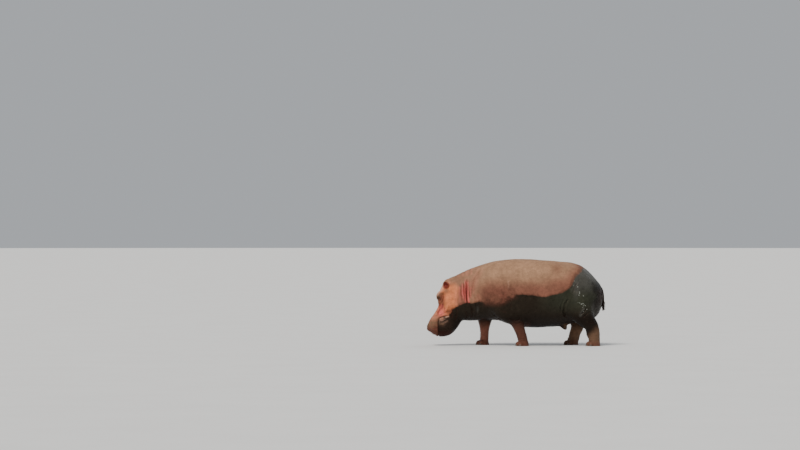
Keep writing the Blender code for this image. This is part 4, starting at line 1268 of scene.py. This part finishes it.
def dryColours(at, crease, ridge):
    # body and face, then ears, scar, strokes, creases darkened red in part as painted shade, with pale
    # ridges, and dark eyelids
    dry = dryFace(dryBody(at), at)
    dry = blendIn(dry, "earRed", 0.9 * earInside(at.points))
    dry = blendIn(dry, "earRed", 0.75 * earNearness(at.points))
    scar = hill(at.x + 0.1525 + 0.004 * np.sin(at.z * 60), 0.009)
    scar *= ramp(0.075 - np.abs(at.z - 1.042), 0, 0.02) * (at.y < 0)
    dry = blendIn(dry, "palePinkAndHighlight", 0.30 * scar)
    dry = strokedOn(dry, dryStrokes, at)
    dry = blendIn(dry, "creaseRedAndShade", 0.95 * crease)
    dry = blendIn(dry, "muzzlePink", 0.45 * ridge)
    eyeGap = [
        np.linalg.norm(at.points - middle - 0.012 * gaze, axis=1)
        for middle, gaze, _, _ in map(eyeFrame, sides)
    ]
    return blendIn(dry, "wetJaw", 0.85 * hill(np.min(eyeGap, axis=0) - 0.015, 0.020))


def wetLegs(wet, at):
    # each leg's brown below the dark hide, whose edge slopes on the left hind leg; the far right legs are
    # painted lighter than the near left ones, as painted light and shade
    for name, (side, _) in legs.items():
        legTop = 0.42 + (at.patches - 0.5) * 0.16
        if name == "hindleg_left":
            legTop += (at.x - 1.25) * 0.9 - 0.10
        low = ramp(legTop + 0.03 - at.z, 0, 0.22) * legNearness(at.points, name)
        tone = "foreLeg" if name.startswith("fore") else "hindLeg"
        wet = blendIn(wet, tone + ("Left" if side < 0 else "Right"), low)
    return blendIn(wet, "wetFoot", 0.6 * ramp(0.12 - at.z, 0, 0.08))


def wetColours(at, crease):
    # dark flank, green towards the rump with a painted grey sheen on its top, painted shade darkening the
    # rear and the belly, then jaw, legs and tail
    wet = np.tile(hide["wetDarkAndCreaseShade"], (len(at.points), 1))
    wet = blendIn(wet, "wetGreen", ramp(at.z, 0.45, 0.75) * ramp(at.x, 0.20, 0.75))
    # painted sheen: grey on the top of the wet rump, as the sky's reflection
    sheenFloor = 0.25 * ramp(at.x, 0.95, 1.05)
    sheenReach = ramp(at.x + 0.35 * (at.z - 0.9), 0.86, 1.06)
    wet = blendIn(wet, "paintedWetSheen", sheenReach * ramp(at.z - sheenFloor, 0.55, 0.82))
    # painted shade: near black towards the rear of the rump, between the tail and the thigh
    rearShade = ramp(at.x + (at.blots - 0.5) * 0.1, 1.22, 1.38)
    wet = blendIn(wet, "blackSpotAndShade", 0.9 * rearShade * ramp(1.16 - at.z, 0, 0.16))
    rearRed = ramp(at.x, 1.33, 1.42) * ramp(1.02 - at.z, 0, 0.10) * ramp(at.z, 0.66, 0.78)
    wet = blendIn(wet, "tailRed", 0.65 * rearRed)
    # painted shade: darker towards the belly
    wet = blendIn(wet, "bellyShade", ramp(0.62 - at.z, 0, 0.2))
    wet = blendIn(wet, "wetJaw", at.onFace)
    wet = blendIn(wet, "chinRed", 0.8 * ramp(0.29 - at.z, 0, 0.08) * at.onFace)
    wet = spotOn(wet, "lipGrey", 0.9, at, (-1.265, 0.425), (0.055, 0.0625))
    wet = strokedOn(wet, wetStrokes, at)
    # painted glint: a grey smear in front of the shoulder
    wet = spotOn(wet, "paintedWetSheen", 0.8, at, (-0.673, 0.62), (0.0229, 0.055))
    damp = ramp(0.12 + at.water, 0, 0.09) * ramp(at.x, -0.62, -0.5) * ramp(-at.x, -0.05, 0.1)
    wet = wetLegs(blendIn(wet, "dampRed", 0.8 * damp), at)
    wet = spotOn(wet, "muzzleTan", 0.55, at, (0.830, 0.330), (0.045, 0.05625), np.abs(at.y) < 0.2)
    # a small black spot on the left of the rump
    wet = spotOn(wet, "blackSpotAndShade", 0.95, at, (1.271, 1.05), (0.018, 0.018), at.y < 0)
    wet = blendIn(wet, "tailRed", 0.9 * tailNearness(at.points))
    # dark red in the creases of the wet hide, partly painted shade
    return blendIn(wet, "creaseRedAndShade", 0.5 * crease)


def softenedWater(at):
    # the height above the line between dry and wet, shrunk along the chest, the lips and the rump,
    # where the edge is wider, and above the line on the ears
    chest = ramp(at.x, -0.64, -0.52) * ramp(-at.x, -0.02, 0.12)
    lips = at.onFace * ramp(-at.along, -0.58, -0.50)
    wider = 1 + 3.5 * chest + 1.5 * lips + 1.2 * ramp(at.x, 0.80, 0.95)
    return np.where(earNearness(at.points) > 0.5, 0.5, at.water) / wider


def sprayShare(at):
    # 1 along the spray on the thigh, where the painted drop glints go, fading away from it as a bell
    path = pathThrough(spray["path"], 12)
    return hill(nearPath(np.column_stack([at.x, at.z]), path)[0], spray["width"]) * (at.x > 0.7)


def paintHide(skin, tree):
    # stores the colours and marks that the hide's material reads
    mesh = skin.data
    at = surveyed(readPoints(mesh))
    crease, ridge = foldMarks(at.points, tree)
    for name, values in (("dryHide", dryColours(at, crease, ridge)), ("wetHide", wetColours(at, crease))):
        colours = mesh.attributes.new(name, "FLOAT_COLOR", "POINT")
        colours.data.foreach_set("color", np.column_stack([values, np.ones(len(values))]).ravel())
    for name, values in (("waterMark", softenedWater(at)), ("glintsOfDrops", sprayShare(at))):
        marks = mesh.attributes.new(name, "FLOAT", "POINT")
        marks.data.foreach_set("value", values)


def newMaterial(name, colour, roughness):
    # a material with its plain values, before its nodes take over
    material = bpy.data.materials.new(name)
    material.use_nodes = True
    shader = material.node_tree.nodes["Principled BSDF"]
    shader.inputs["Base Color"].default_value = (*colour, 1)
    shader.inputs["Roughness"].default_value = roughness
    return material, shader


def addNode(material, kind, inputs=(), **settings):
    # a node with its settings, and each named input either linked or set
    node = material.node_tree.nodes.new("ShaderNode" + kind)
    for key, value in settings.items():
        setattr(node, key, value)
    for key, value in dict(inputs).items():
        if isinstance(value, bpy.types.NodeSocket):
            material.node_tree.links.new(value, node.inputs[key])
        else:
            node.inputs[key].default_value = value
    return node


def sumNode(material, operation, first, second):
    # one step of arithmetic on two values
    return addNode(material, "Math", {0: first, 1: second}, operation=operation).outputs[0]


def shiftNode(material, value, factor, offset):
    # the value times the factor, plus the offset
    return addNode(material, "Math", {0: value, 1: factor, 2: offset}, operation="MULTIPLY_ADD").outputs[0]


def rampNode(material, value, low, high, toLow=0.0, toHigh=1.0):
    # an S-shaped rise from one value to the other between low and high
    return addNode(material, "MapRange", {
        "Value": value, "From Min": low, "From Max": high, "To Min": toLow, "To Max": toHigh,
    }, interpolation_type="SMOOTHSTEP").outputs["Result"]


def mixNode(material, share, first, second, blend="MIX"):
    # two colours blended by the share
    node = material.node_tree.nodes.new("ShaderNodeMix")
    node.data_type, node.blend_type = "RGBA", blend
    for socket, value in ((node.inputs[0], share), (node.inputs[6], first), (node.inputs[7], second)):
        if isinstance(value, bpy.types.NodeSocket):
            material.node_tree.links.new(value, socket)
        else:
            socket.default_value = value
    return node.outputs[2]


def noiseNode(material, place, scale, detail=3.0, roughness=0.55):
    # soft noise, about a half on average
    return addNode(material, "TexNoise", {
        "Vector": place, "Scale": scale, "Detail": detail, "Roughness": roughness,
    }).outputs["Fac"]


def joined(material, shader, colour, roughness=None, normal=None):
    # links a material's last nodes to its shader
    for key, output in (("Base Color", colour), ("Roughness", roughness), ("Normal", normal)):
        if output is not None:
            material.node_tree.links.new(output, shader.inputs[key])
    return material


hideFinish = {
    "dryRoughness": 0.66,
    "wetRoughness": 0.33,
    "shine": 0.12,
    "tint": (1.0, 0.84, 0.70),
    "edge": 0.010,  # half the width of the edge between dry and wet
    "mottle": 0.11,
    "crackScale": 72.0,
    "crackDepth": 0.0018,
    "silt": (0.06, 0.050, 0.036),
    "dropScale": 32.0,
    "glintOfDrop": (0.25, 0.26, 0.23),
}


def frayedLine(material, broad, medium):
    # the water's line, drifting by a broad and a medium noise
    water = addNode(material, "Attribute", attribute_name="waterMark").outputs["Fac"]
    frayed = sumNode(material, "ADD", shiftNode(material, broad, 0.05, -0.025), water)
    return sumNode(material, "ADD", frayed, shiftNode(material, medium, 0.03, -0.015))


def mottledTones(material, broad, medium, fine):
    # the product of three noises, each spread evenly about 1
    tone = rampNode(material, broad, 0.3, 0.7, 1 - hideFinish["mottle"], 1 + hideFinish["mottle"])
    speck = rampNode(material, medium, 0.3, 0.7, 0.86, 1.14)
    grain = rampNode(material, fine, 0.3, 0.7, 0.89, 1.11)
    return sumNode(material, "MULTIPLY", sumNode(material, "MULTIPLY", tone, speck), grain)


def withGlintsOfDrops(material, wetTone, place, fine):
    # some of the cells where the spray lies hold one ragged painted glint of a water drop each
    cells = addNode(material, "TexVoronoi", {"Vector": place, "Scale": hideFinish["dropScale"]})
    chosen = addNode(material, "SeparateColor", {"Color": cells.outputs["Color"]}).outputs["Red"]
    sprayed = addNode(material, "Attribute", attribute_name="glintsOfDrops").outputs["Fac"]
    picked = rampNode(material, sumNode(material, "MULTIPLY", chosen, sprayed), 0.42, 0.50)
    ragged = sumNode(material, "ADD", cells.outputs["Distance"], sumNode(material, "MULTIPLY", fine, 0.7))
    glintOfDrop = sumNode(material, "MULTIPLY", rampNode(material, ragged, 0.70, 0.60), picked)
    return mixNode(material, glintOfDrop, wetTone, (*hideFinish["glintOfDrop"], 1))


def crackDistance(material, place, scale):
    # how far the nearest crack between cells lies
    return addNode(material, "TexVoronoi", {
        "Vector": place, "Scale": scale,
    }, feature="DISTANCE_TO_EDGE").outputs["Distance"]


def hideCracks(material, place):
    # wide cracks between cells stretched upwards, and finer ones, both drifting by a noise
    drift = mixNode(material, 0.035, place, addNode(material, "TexNoise", {
        "Vector": place, "Scale": 22.0, "Detail": 3.0,
    }).outputs["Color"], "LINEAR_LIGHT")
    stretched = addNode(material, "Mapping", {"Vector": drift, "Scale": (1.35, 1.0, 0.70)}).outputs[0]
    cracks = crackDistance(material, stretched, hideFinish["crackScale"])
    return cracks, crackDistance(material, drift, hideFinish["crackScale"] * 2.3)


def hideRelief(material, place, cracks, finer, medium, fine):
    # cracks, deeper in places, then finer cracks, pits and grain added up
    uneven = rampNode(material, medium, 0.35, 0.65, 0.25, 1.0)
    crackLine = sumNode(material, "MULTIPLY", rampNode(material, cracks, 0.0, 0.20), uneven)
    relief = sumNode(material, "MULTIPLY", crackLine, 0.45)
    finerLine = rampNode(material, finer, 0.0, 0.25)
    relief = sumNode(material, "ADD", relief, sumNode(material, "MULTIPLY", finerLine, 0.30))
    relief = sumNode(material, "ADD", relief, fine)
    grains = noiseNode(material, place, 260.0, 2.0)
    relief = sumNode(material, "ADD", relief, sumNode(material, "MULTIPLY", grains, 0.25))
    return addNode(material, "Bump", {
        "Height": relief, "Strength": 0.75, "Distance": hideFinish["crackDepth"],
    }).outputs["Normal"]


def hideMaterial():
    # dry and wet colours mixed at the water's line, mottled, with painted drop glints on the wet hide,
    # painted shade along the cracks, and cracked and pitted relief
    material, shader = newMaterial("hide", hide["flankPink"], hideFinish["dryRoughness"])
    shader.inputs["Specular IOR Level"].default_value = hideFinish["shine"]
    shader.inputs["Specular Tint"].default_value = (*hideFinish["tint"], 1)
    place = addNode(material, "TexCoord").outputs["Object"]
    dry = addNode(material, "Attribute", attribute_name="dryHide").outputs["Color"]
    wet = addNode(material, "Attribute", attribute_name="wetHide").outputs["Color"]
    broad = noiseNode(material, place, 5.0, 4.0)
    medium = noiseNode(material, place, 17.0, 5.0, 0.6)
    fine = noiseNode(material, place, 90.0, 3.0, 0.6)
    line = frayedLine(material, broad, medium)
    isDry = rampNode(material, line, -hideFinish["edge"], hideFinish["edge"])

    tones = mottledTones(material, broad, medium, fine)
    damp = rampNode(material, line, 0.0, 0.045, 0.62, 1.0)
    dryTone = mixNode(material, 1.0, mixNode(material, 1.0, dry, tones, "MULTIPLY"), damp, "MULTIPLY")
    silt = rampNode(material, medium, 0.56, 0.72, 0.0, 0.10)
    wetTone = mixNode(material, 1.0, wet, tones, "MULTIPLY")
    wetTone = mixNode(material, silt, wetTone, (*hideFinish["silt"], 1))
    wetTone = withGlintsOfDrops(material, wetTone, place, fine)
    cracks, finer = hideCracks(material, place)
    shadeLine = rampNode(material, cracks, 0.0, 0.12, 0.92, 1.0)
    colour = mixNode(material, 1.0, mixNode(material, isDry, wetTone, dryTone), shadeLine, "MULTIPLY")

    dull = rampNode(material, medium, 0.3, 0.7, -0.07, 0.07)
    gloss = rampNode(material, isDry, 0.0, 1.0, hideFinish["wetRoughness"], hideFinish["dryRoughness"])
    normal = hideRelief(material, place, cracks, finer, medium, fine)
    return joined(material, shader, colour, sumNode(material, "ADD", gloss, dull), normal)


eyeForm = {
    "radius": 0.027,
    "cornea": 0.0016,  # how far the clear front stands out
    "irisDark": (0.030, 0.012, 0.006),
    "irisLight": (0.16, 0.070, 0.028),
    "whiteDark": (0.09, 0.030, 0.020),
    "whiteLight": (0.20, 0.075, 0.045),
    "pupil": (0.004, 0.003, 0.003),
    "ring": (0.012, 0.006, 0.004),
    "roughness": 0.10,
    "shine": 0.22,
}


def makeEye(name, side):
    # a ball whose front swells a little over the iris; U is the angle from the gaze, V goes round it
    middle, gaze, nose, up = eyeFrame(side)
    polar = np.linspace(0, math.pi, 41)[1:-1, None]
    angle = roundAngles(48)[None]
    radius = eyeForm["radius"] + eyeForm["cornea"] * hill(polar, 0.42)
    out = radius * np.cos(polar) * np.ones_like(angle)
    flat = radius * np.sin(polar)
    rings = (
        middle + out[..., None] * gaze
        + (flat * np.cos(angle))[..., None] * nose + (flat * np.sin(angle))[..., None] * up
    )
    points, faces = ringShell(rings)
    points[-2] = middle + gaze * (eyeForm["radius"] + eyeForm["cornea"])
    points[-1] = middle - gaze * eyeForm["radius"]
    ball = meshOf(name, [(points, faces)])
    fromGaze = np.concatenate([np.repeat(polar[:, 0], 48), [0, math.pi]]) / math.pi
    turn = np.concatenate([np.tile(np.arange(48) / 48, 39), [0.5, 0.5]])
    setUv(ball, "EyeMap", np.column_stack([fromGaze, turn]))
    return ball


def setUv(piece, name, perPoint):
    # a UV map with one place for each point
    mesh = piece.data
    corners = np.empty(len(mesh.loops), np.int32)
    mesh.loops.foreach_get("vertex_index", corners)
    layer = mesh.uv_layers.new(name=name)
    layer.data.foreach_set("uv", perPoint[corners].astype(np.float32).ravel())


def eyeMaterial():
    # pupil, iris with spokes, dark rim and blood-brown white, by the angle from the gaze
    material, shader = newMaterial("eyeBall", eyeForm["irisLight"], eyeForm["roughness"])
    uv = addNode(material, "UVMap", uv_map="EyeMap").outputs["UV"]
    split = addNode(material, "SeparateXYZ", {"Vector": uv})
    spokes = noiseNode(material, addNode(material, "Mapping", {
        "Vector": uv, "Scale": (6.0, 60.0, 1.0),
    }).outputs[0], 3.0, 3.0)
    place = addNode(material, "TexCoord").outputs["Object"]
    veins = noiseNode(material, place, 220.0, 4.0)
    iris = mixNode(material, spokes, (*eyeForm["irisDark"], 1), (*eyeForm["irisLight"], 1))
    white = mixNode(material, veins, (*eyeForm["whiteDark"], 1), (*eyeForm["whiteLight"], 1))
    angle = split.outputs["X"]
    colour = mixNode(material, rampNode(material, angle, 0.055, 0.068), (*eyeForm["pupil"], 1), iris)
    colour = mixNode(material, rampNode(material, angle, 0.150, 0.175), colour, (*eyeForm["ring"], 1))
    colour = mixNode(material, rampNode(material, angle, 0.190, 0.230), colour, white)
    shader.inputs["Specular IOR Level"].default_value = eyeForm["shine"]
    return joined(material, shader, colour)


nail = {
    "halfWidth": (0.0245, 0.0200),  # at its edge and at its root
    "height": (0.004, 0.050),
    "depth": 0.016,
    "lean": 0.010,
    "stand": 0.0035,  # how far its edge stands out of the toe
    "dark": (0.040, 0.025, 0.018),
    "light": (0.120, 0.080, 0.055),
    "scuffed": (0.17, 0.125, 0.090),
}


def nailShells(name):
    # superellipse sections from the edge up to the root, narrower, thinner and further back higher up
    shells = []
    for outward, across, middle in toePlaces(name):
        rise = np.linspace(0, 1, 12)[:, None]
        arch = np.sqrt(np.clip(1 - rise**2.6, 0.02, 1))
        wide = (nail["halfWidth"][0] * (1 - rise) + nail["halfWidth"][1] * rise) * arch
        deep = nail["depth"] * (0.45 + 0.55 * arch)
        c, s = rounded(roundAngles(28), 2.4)
        ahead = foot["toeSize"][0] + nail["stand"] - nail["depth"] - nail["lean"] * rise**1.4
        z = nail["height"][0] + (nail["height"][1] - nail["height"][0]) * rise * np.ones_like(c)
        rings = (
            (middle * (1, 1, 0)) + (ahead + deep * c)[..., None] * outward
            + (wide * s)[..., None] * across + z[..., None] * np.array((0, 0, 1.0))
        )
        shells.append(ringShell(rings))
    return shells


def nailMaterial():
    # horn with growth lines across and streaks down it, paler and scuffed at the edge
    material, shader = newMaterial("nailHorn", nail["light"], 0.42)
    place = addNode(material, "TexCoord").outputs["Object"]
    height = addNode(material, "SeparateXYZ", {"Vector": place}).outputs["Z"]
    streaks = noiseNode(material, addNode(material, "Mapping", {
        "Vector": place, "Scale": (160.0, 160.0, 14.0),
    }).outputs[0], 1.0, 3.0)
    growth = noiseNode(material, addNode(material, "Mapping", {
        "Vector": place, "Scale": (12.0, 12.0, 420.0),
    }).outputs[0], 1.0, 2.0)
    horn = mixNode(material, streaks, (*nail["dark"], 1), (*nail["light"], 1))
    edge = rampNode(material, height, 0.004, 0.028, 0.45, 0.0)
    horn = mixNode(material, edge, horn, (*nail["scuffed"], 1))
    bump = addNode(material, "Bump", {
        "Height": sumNode(material, "ADD", growth, streaks), "Strength": 0.5, "Distance": 0.0012,
    })
    rough = rampNode(material, growth, 0.3, 0.7, 0.32, 0.55)
    return joined(material, shader, horn, rough, bump.outputs["Normal"])


bristleForm = {
    "thickness": 0.0007,
    "droop": 0.18,
    "spread": 0.18,  # how unevenly neighbouring hairs lean
    "muzzle": (  # along the face, sideways, towards the crown, spread, count, length
        (0.86, 0.10, 0.02, 0.040, 110, 0.016),
        (0.82, 0.19, -0.01, 0.036, 90, 0.016),
        (0.74, 0.23, 0.00, 0.040, 70, 0.014),
        (0.84, 0.10, -0.16, 0.045, 70, 0.014),
        (0.70, 0.20, -0.22, 0.060, 50, 0.012),
    ),
    "earPatches": 46,
    "brushHairs": 620,
    "brushHeights": (0.640, 0.775),
    "brushThickness": 0.0013,
    "brushEnd": 0.578,  # about the height where the longest hairs of the tail end
    "dark": (0.012, 0.008, 0.006),
    "brown": (0.085, 0.045, 0.028),
}


def bakePlaces(roots):
    # each hair's small patch sits at its root's place on the hide, unrolled along and round the body
    low, high = cadBox
    unrolled = np.column_stack([
        0.02 + 0.96 * (roots[:, 0] - low[0]) / (high[0] - low[0]),
        0.5 + 0.48 * np.arctan2(roots[:, 1], roots[:, 2] - 0.8) / math.pi,
    ])
    within = np.array([(n / 2.0, m / 3.0) for m in range(3) for n in range(3)] + [(0.5, 1.0)])
    return (unrolled[:, None] + within[None] * 0.003).reshape(-1, 2)


def bristles(name, roots, directions, lengths, thickness, droop, seed):
    # three-sided spikes: each section stands further along the hair, thinner, and sags by the square
    # of how far along it is
    rng = np.random.default_rng(seed)
    count = len(roots)
    share = np.array((0.0, 0.38, 0.72))
    side = unitRows(np.cross(directions, rng.normal(size=(count, 3))))
    other = np.cross(directions, side)
    angle = roundAngles(3)
    radius = thickness * (1 - 0.75 * share)
    sag = np.array((0, 0, -1.0)) * droop
    centre = (
        roots[:, None] + directions[:, None] * (lengths[:, None] * share)[..., None]
        + sag * (lengths[:, None] * share**2)[..., None]
    )
    ring = side[:, None] * np.cos(angle)[None, :, None] + other[:, None] * np.sin(angle)[None, :, None]
    points = centre[:, :, None] + ring[:, None] * radius[None, :, None, None]
    tips = roots + directions * lengths[:, None] + sag * lengths[:, None]
    points = np.concatenate([points.reshape(count, 9, 3), tips[:, None]], axis=1)
    faces = []
    for low in (0, 3):
        for n in range(3):
            m = (n + 1) % 3
            faces.append((low + n, low + m, low + 3 + m, low + 3 + n))
    ends = [(6, 7, 9), (7, 8, 9), (8, 6, 9), (2, 1, 0)]
    start = np.arange(count)[:, None, None] * 10
    quads = (start + np.array(faces)).reshape(-1, 4)
    triangles = (start + np.array(ends)).reshape(-1, 3)
    piece = meshOf(name, [(points.reshape(-1, 3), quads.tolist() + triangles.tolist())])
    setUv(piece, "OFBake", bakePlaces(roots))
    return piece


def growBristles(name, tree, patches, seed):
    # hairs scattered on the skin round each patch's middle, leaning along the patch's own lie
    rng = np.random.default_rng(seed)
    roots, directions, lengths = [], [], []
    for middle, spread, outward, lie, count, length in patches:
        for _ in range(count):
            place = middle + rng.normal(size=3) * spread
            hit, normal, _, _ = tree.find_nearest(Vector(place))
            lean = np.array(normal) * outward + np.asarray(lie) + rng.normal(size=3) * bristleForm["spread"]
            roots.append(np.array(hit) - np.array(normal) * 0.002)
            directions.append(unit(lean))
            lengths.append(length * rng.uniform(0.6, 1.25))
    return bristles(
        name, np.array(roots), np.array(directions), np.array(lengths),
        bristleForm["thickness"], bristleForm["droop"], seed,
    )


def tailBrush():
    # hairs along the two edges of the tail's end, spread by noise, leaning outwards and down
    rng = np.random.default_rng(5)
    table = np.array(tail["stations"])
    count = bristleForm["brushHairs"]
    height = rng.uniform(*bristleForm["brushHeights"], count)
    x = np.interp(height, table[::-1, 1], table[::-1, 0]) + lengthShift
    fore = np.interp(height, table[::-1, 1], table[::-1, 3])
    wide = np.interp(height, table[::-1, 1], table[::-1, 2])
    angle = rng.normal(0, 0.65, count) + np.where(rng.random(count) < 0.5, 0, math.pi)
    roots = np.column_stack([x + fore * np.sin(angle) * 0.9, wide * np.cos(angle) * 0.9, height])
    lean = np.column_stack([
        0.10 + 0.15 * np.sin(angle), 0.40 * np.cos(angle), np.full(count, -1.0)
    ]) + rng.normal(0, 0.10, (count, 3))
    lengths = rng.uniform(0.040, 0.085, count)
    lengths = np.minimum(lengths, (roots[:, 2] - bristleForm["brushEnd"]) * 1.02)
    return bristles("tail_bristles", roots, unitRows(lean), lengths, bristleForm["brushThickness"], 0.05, 6)


def bristleMaterial():
    # dark horn, browner in places by a soft noise
    material, shader = newMaterial("bristleHorn", bristleForm["dark"], 0.45)
    place = addNode(material, "TexCoord").outputs["Object"]
    tone = noiseNode(material, place, 34.0, 3.0)
    colour = mixNode(material, tone, (*bristleForm["dark"], 1), (*bristleForm["brown"], 1))
    return joined(material, shader, colour)


def hairPatches():
    # on each side, the muzzle's patches, and small ones in a row round the rim of the ear: middle,
    # spread, how far the hairs stand out, their lie, count and length
    muzzlePatches, earPatches = [], []
    for side in sides:
        for along, out, crown, spread, count, length in bristleForm["muzzle"]:
            middle = headPoint(along, side * out, crown)
            muzzlePatches.append((middle, spread, 0.8, noseward * 0.5, count, length))
        root, across, opening, up = earFrame(side)
        blade = root + up * earForm["bladeHeight"]
        for turn in np.linspace(-0.6, math.pi + 0.6, bristleForm["earPatches"]):
            rim = blade + across * math.cos(turn) * 0.043 + up * math.sin(turn) * 0.055 + opening * 0.006
            earPatches.append((rim, 0.004, 0.5, up * 0.3 + opening * 0.4, 5, 0.011))
    return muzzlePatches, earPatches


skin, tree = makeSkin()
paintHide(skin, tree)
skin.data.materials.append(hideMaterial())
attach(skin, "root")
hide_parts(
    "trunk", "neck", "head", "lower_jaw", "tail", "foreleg_left", "foreleg_right",
    "hindleg_left", "hindleg_right", "ear_left", "ear_right",
)
print("hide painted")


def finishPiece(piece, material, replaced=()):
    # material, smooth shading, and the piece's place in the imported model
    piece.data.materials.append(material)
    piece.data.polygons.foreach_set("use_smooth", np.ones(len(piece.data.polygons), bool))
    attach(piece, "root")
    if replaced:
        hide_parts(*replaced)


eyeGloss = eyeMaterial()
for word, side in (("left", -1), ("right", 1)):
    finishPiece(makeEye("eyeball_" + word, side), eyeGloss, ["eye_" + word])
horn = nailMaterial()
for name in legs:
    nails = meshOf(name + "_hooves", nailShells(name))
    finishPiece(nails, horn, [f"{name}_nail_{n}" for n in range(1, 5)])
print("eyes and nails")

skinNow = BVHTree.FromObject(skin, bpy.context.evaluated_depsgraph_get())
muzzlePatches, earPatches = hairPatches()
hair = bristleMaterial()
finishPiece(growBristles("muzzle_bristles", skinNow, muzzlePatches, 11), hair)
finishPiece(growBristles("ear_bristles", skinNow, earPatches, 12), hair)
finishPiece(tailBrush(), hair)
print("bristles")

studio = {
    "floorTones": ((0.76, 0.75, 0.73), (0.83, 0.82, 0.80)),
    "floorRadius": 240.0,
    "suns": (  # name, direction, strength, spread in degrees, colour
        ("key", (0.35, 0.62, -0.90), 3.0, 22, (1.0, 0.97, 0.92)),
        ("rim", (-0.45, -0.70, -0.60), 0.25, 30, (0.94, 0.97, 1.0)),
    ),
    "sky": (0.86, 0.90, 0.95),
    "skyStrength": 0.50,
    "lens": 150,
    "filmWidth": 36,
    "farthest": 500,
    "cameraPlace": (-1.975, -56.5, 2.04),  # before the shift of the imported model
}


def makeFloor():
    # a flat disc of rings that widen outwards
    reach = np.concatenate([np.linspace(0.5, 6, 12), np.geomspace(8, studio["floorRadius"], 16)])[:, None]
    angle = roundAngles(96)[None]
    x, y, z = reach * np.cos(angle), reach * np.sin(angle), 0.0 * reach
    rings = np.stack(np.broadcast_arrays(x, y, z), axis=-1)
    points, faces = ringShell(rings)
    floor = meshOf("floor", [(points[:-1], [f for f in faces if max(f) < len(points) - 1])])
    material, shader = newMaterial("floorPaint", studio["floorTones"][0], 0.75)
    place = addNode(material, "TexCoord").outputs["Object"]
    cloud = noiseNode(material, place, 0.8, 3.0)
    dark, light = studio["floorTones"]
    paint = mixNode(material, cloud, (*dark, 1), (*light, 1))
    floor.data.materials.append(joined(material, shader, paint))


def addSun(name, direction, strength, spread, colour):
    # a soft sun that shines along the direction
    lamp = bpy.data.lights.new(name, "SUN")
    lamp.energy, lamp.angle, lamp.color = strength, math.radians(spread), colour
    light = bpy.data.objects.new(name, lamp)
    light.rotation_euler = Vector(direction).to_track_quat("-Z", "Y").to_euler()
    bpy.context.scene.collection.objects.link(light)


def makeSky():
    # an even pale light from all round
    world = bpy.data.worlds.new("studio")
    world.use_nodes = True
    background = world.node_tree.nodes["Background"]
    background.inputs["Color"].default_value = (*studio["sky"], 1)
    background.inputs["Strength"].default_value = studio["skyStrength"]
    bpy.context.scene.world = world


def makeCamera():
    # level and far off, square to the animal's side
    camera = bpy.data.objects.new("camera", bpy.data.cameras.new("camera"))
    camera.data.lens = studio["lens"]
    camera.data.sensor_width = studio["filmWidth"]
    camera.data.clip_end = studio["farthest"]
    x, y, z = studio["cameraPlace"]
    camera.location = (x + lengthShift, y, z)
    camera.rotation_euler = (math.pi / 2, 0, 0)
    bpy.context.scene.collection.objects.link(camera)
    bpy.context.scene.camera = camera


makeFloor()
for sun in studio["suns"]:
    addSun(*sun)
makeSky()
makeCamera()
print("studio")
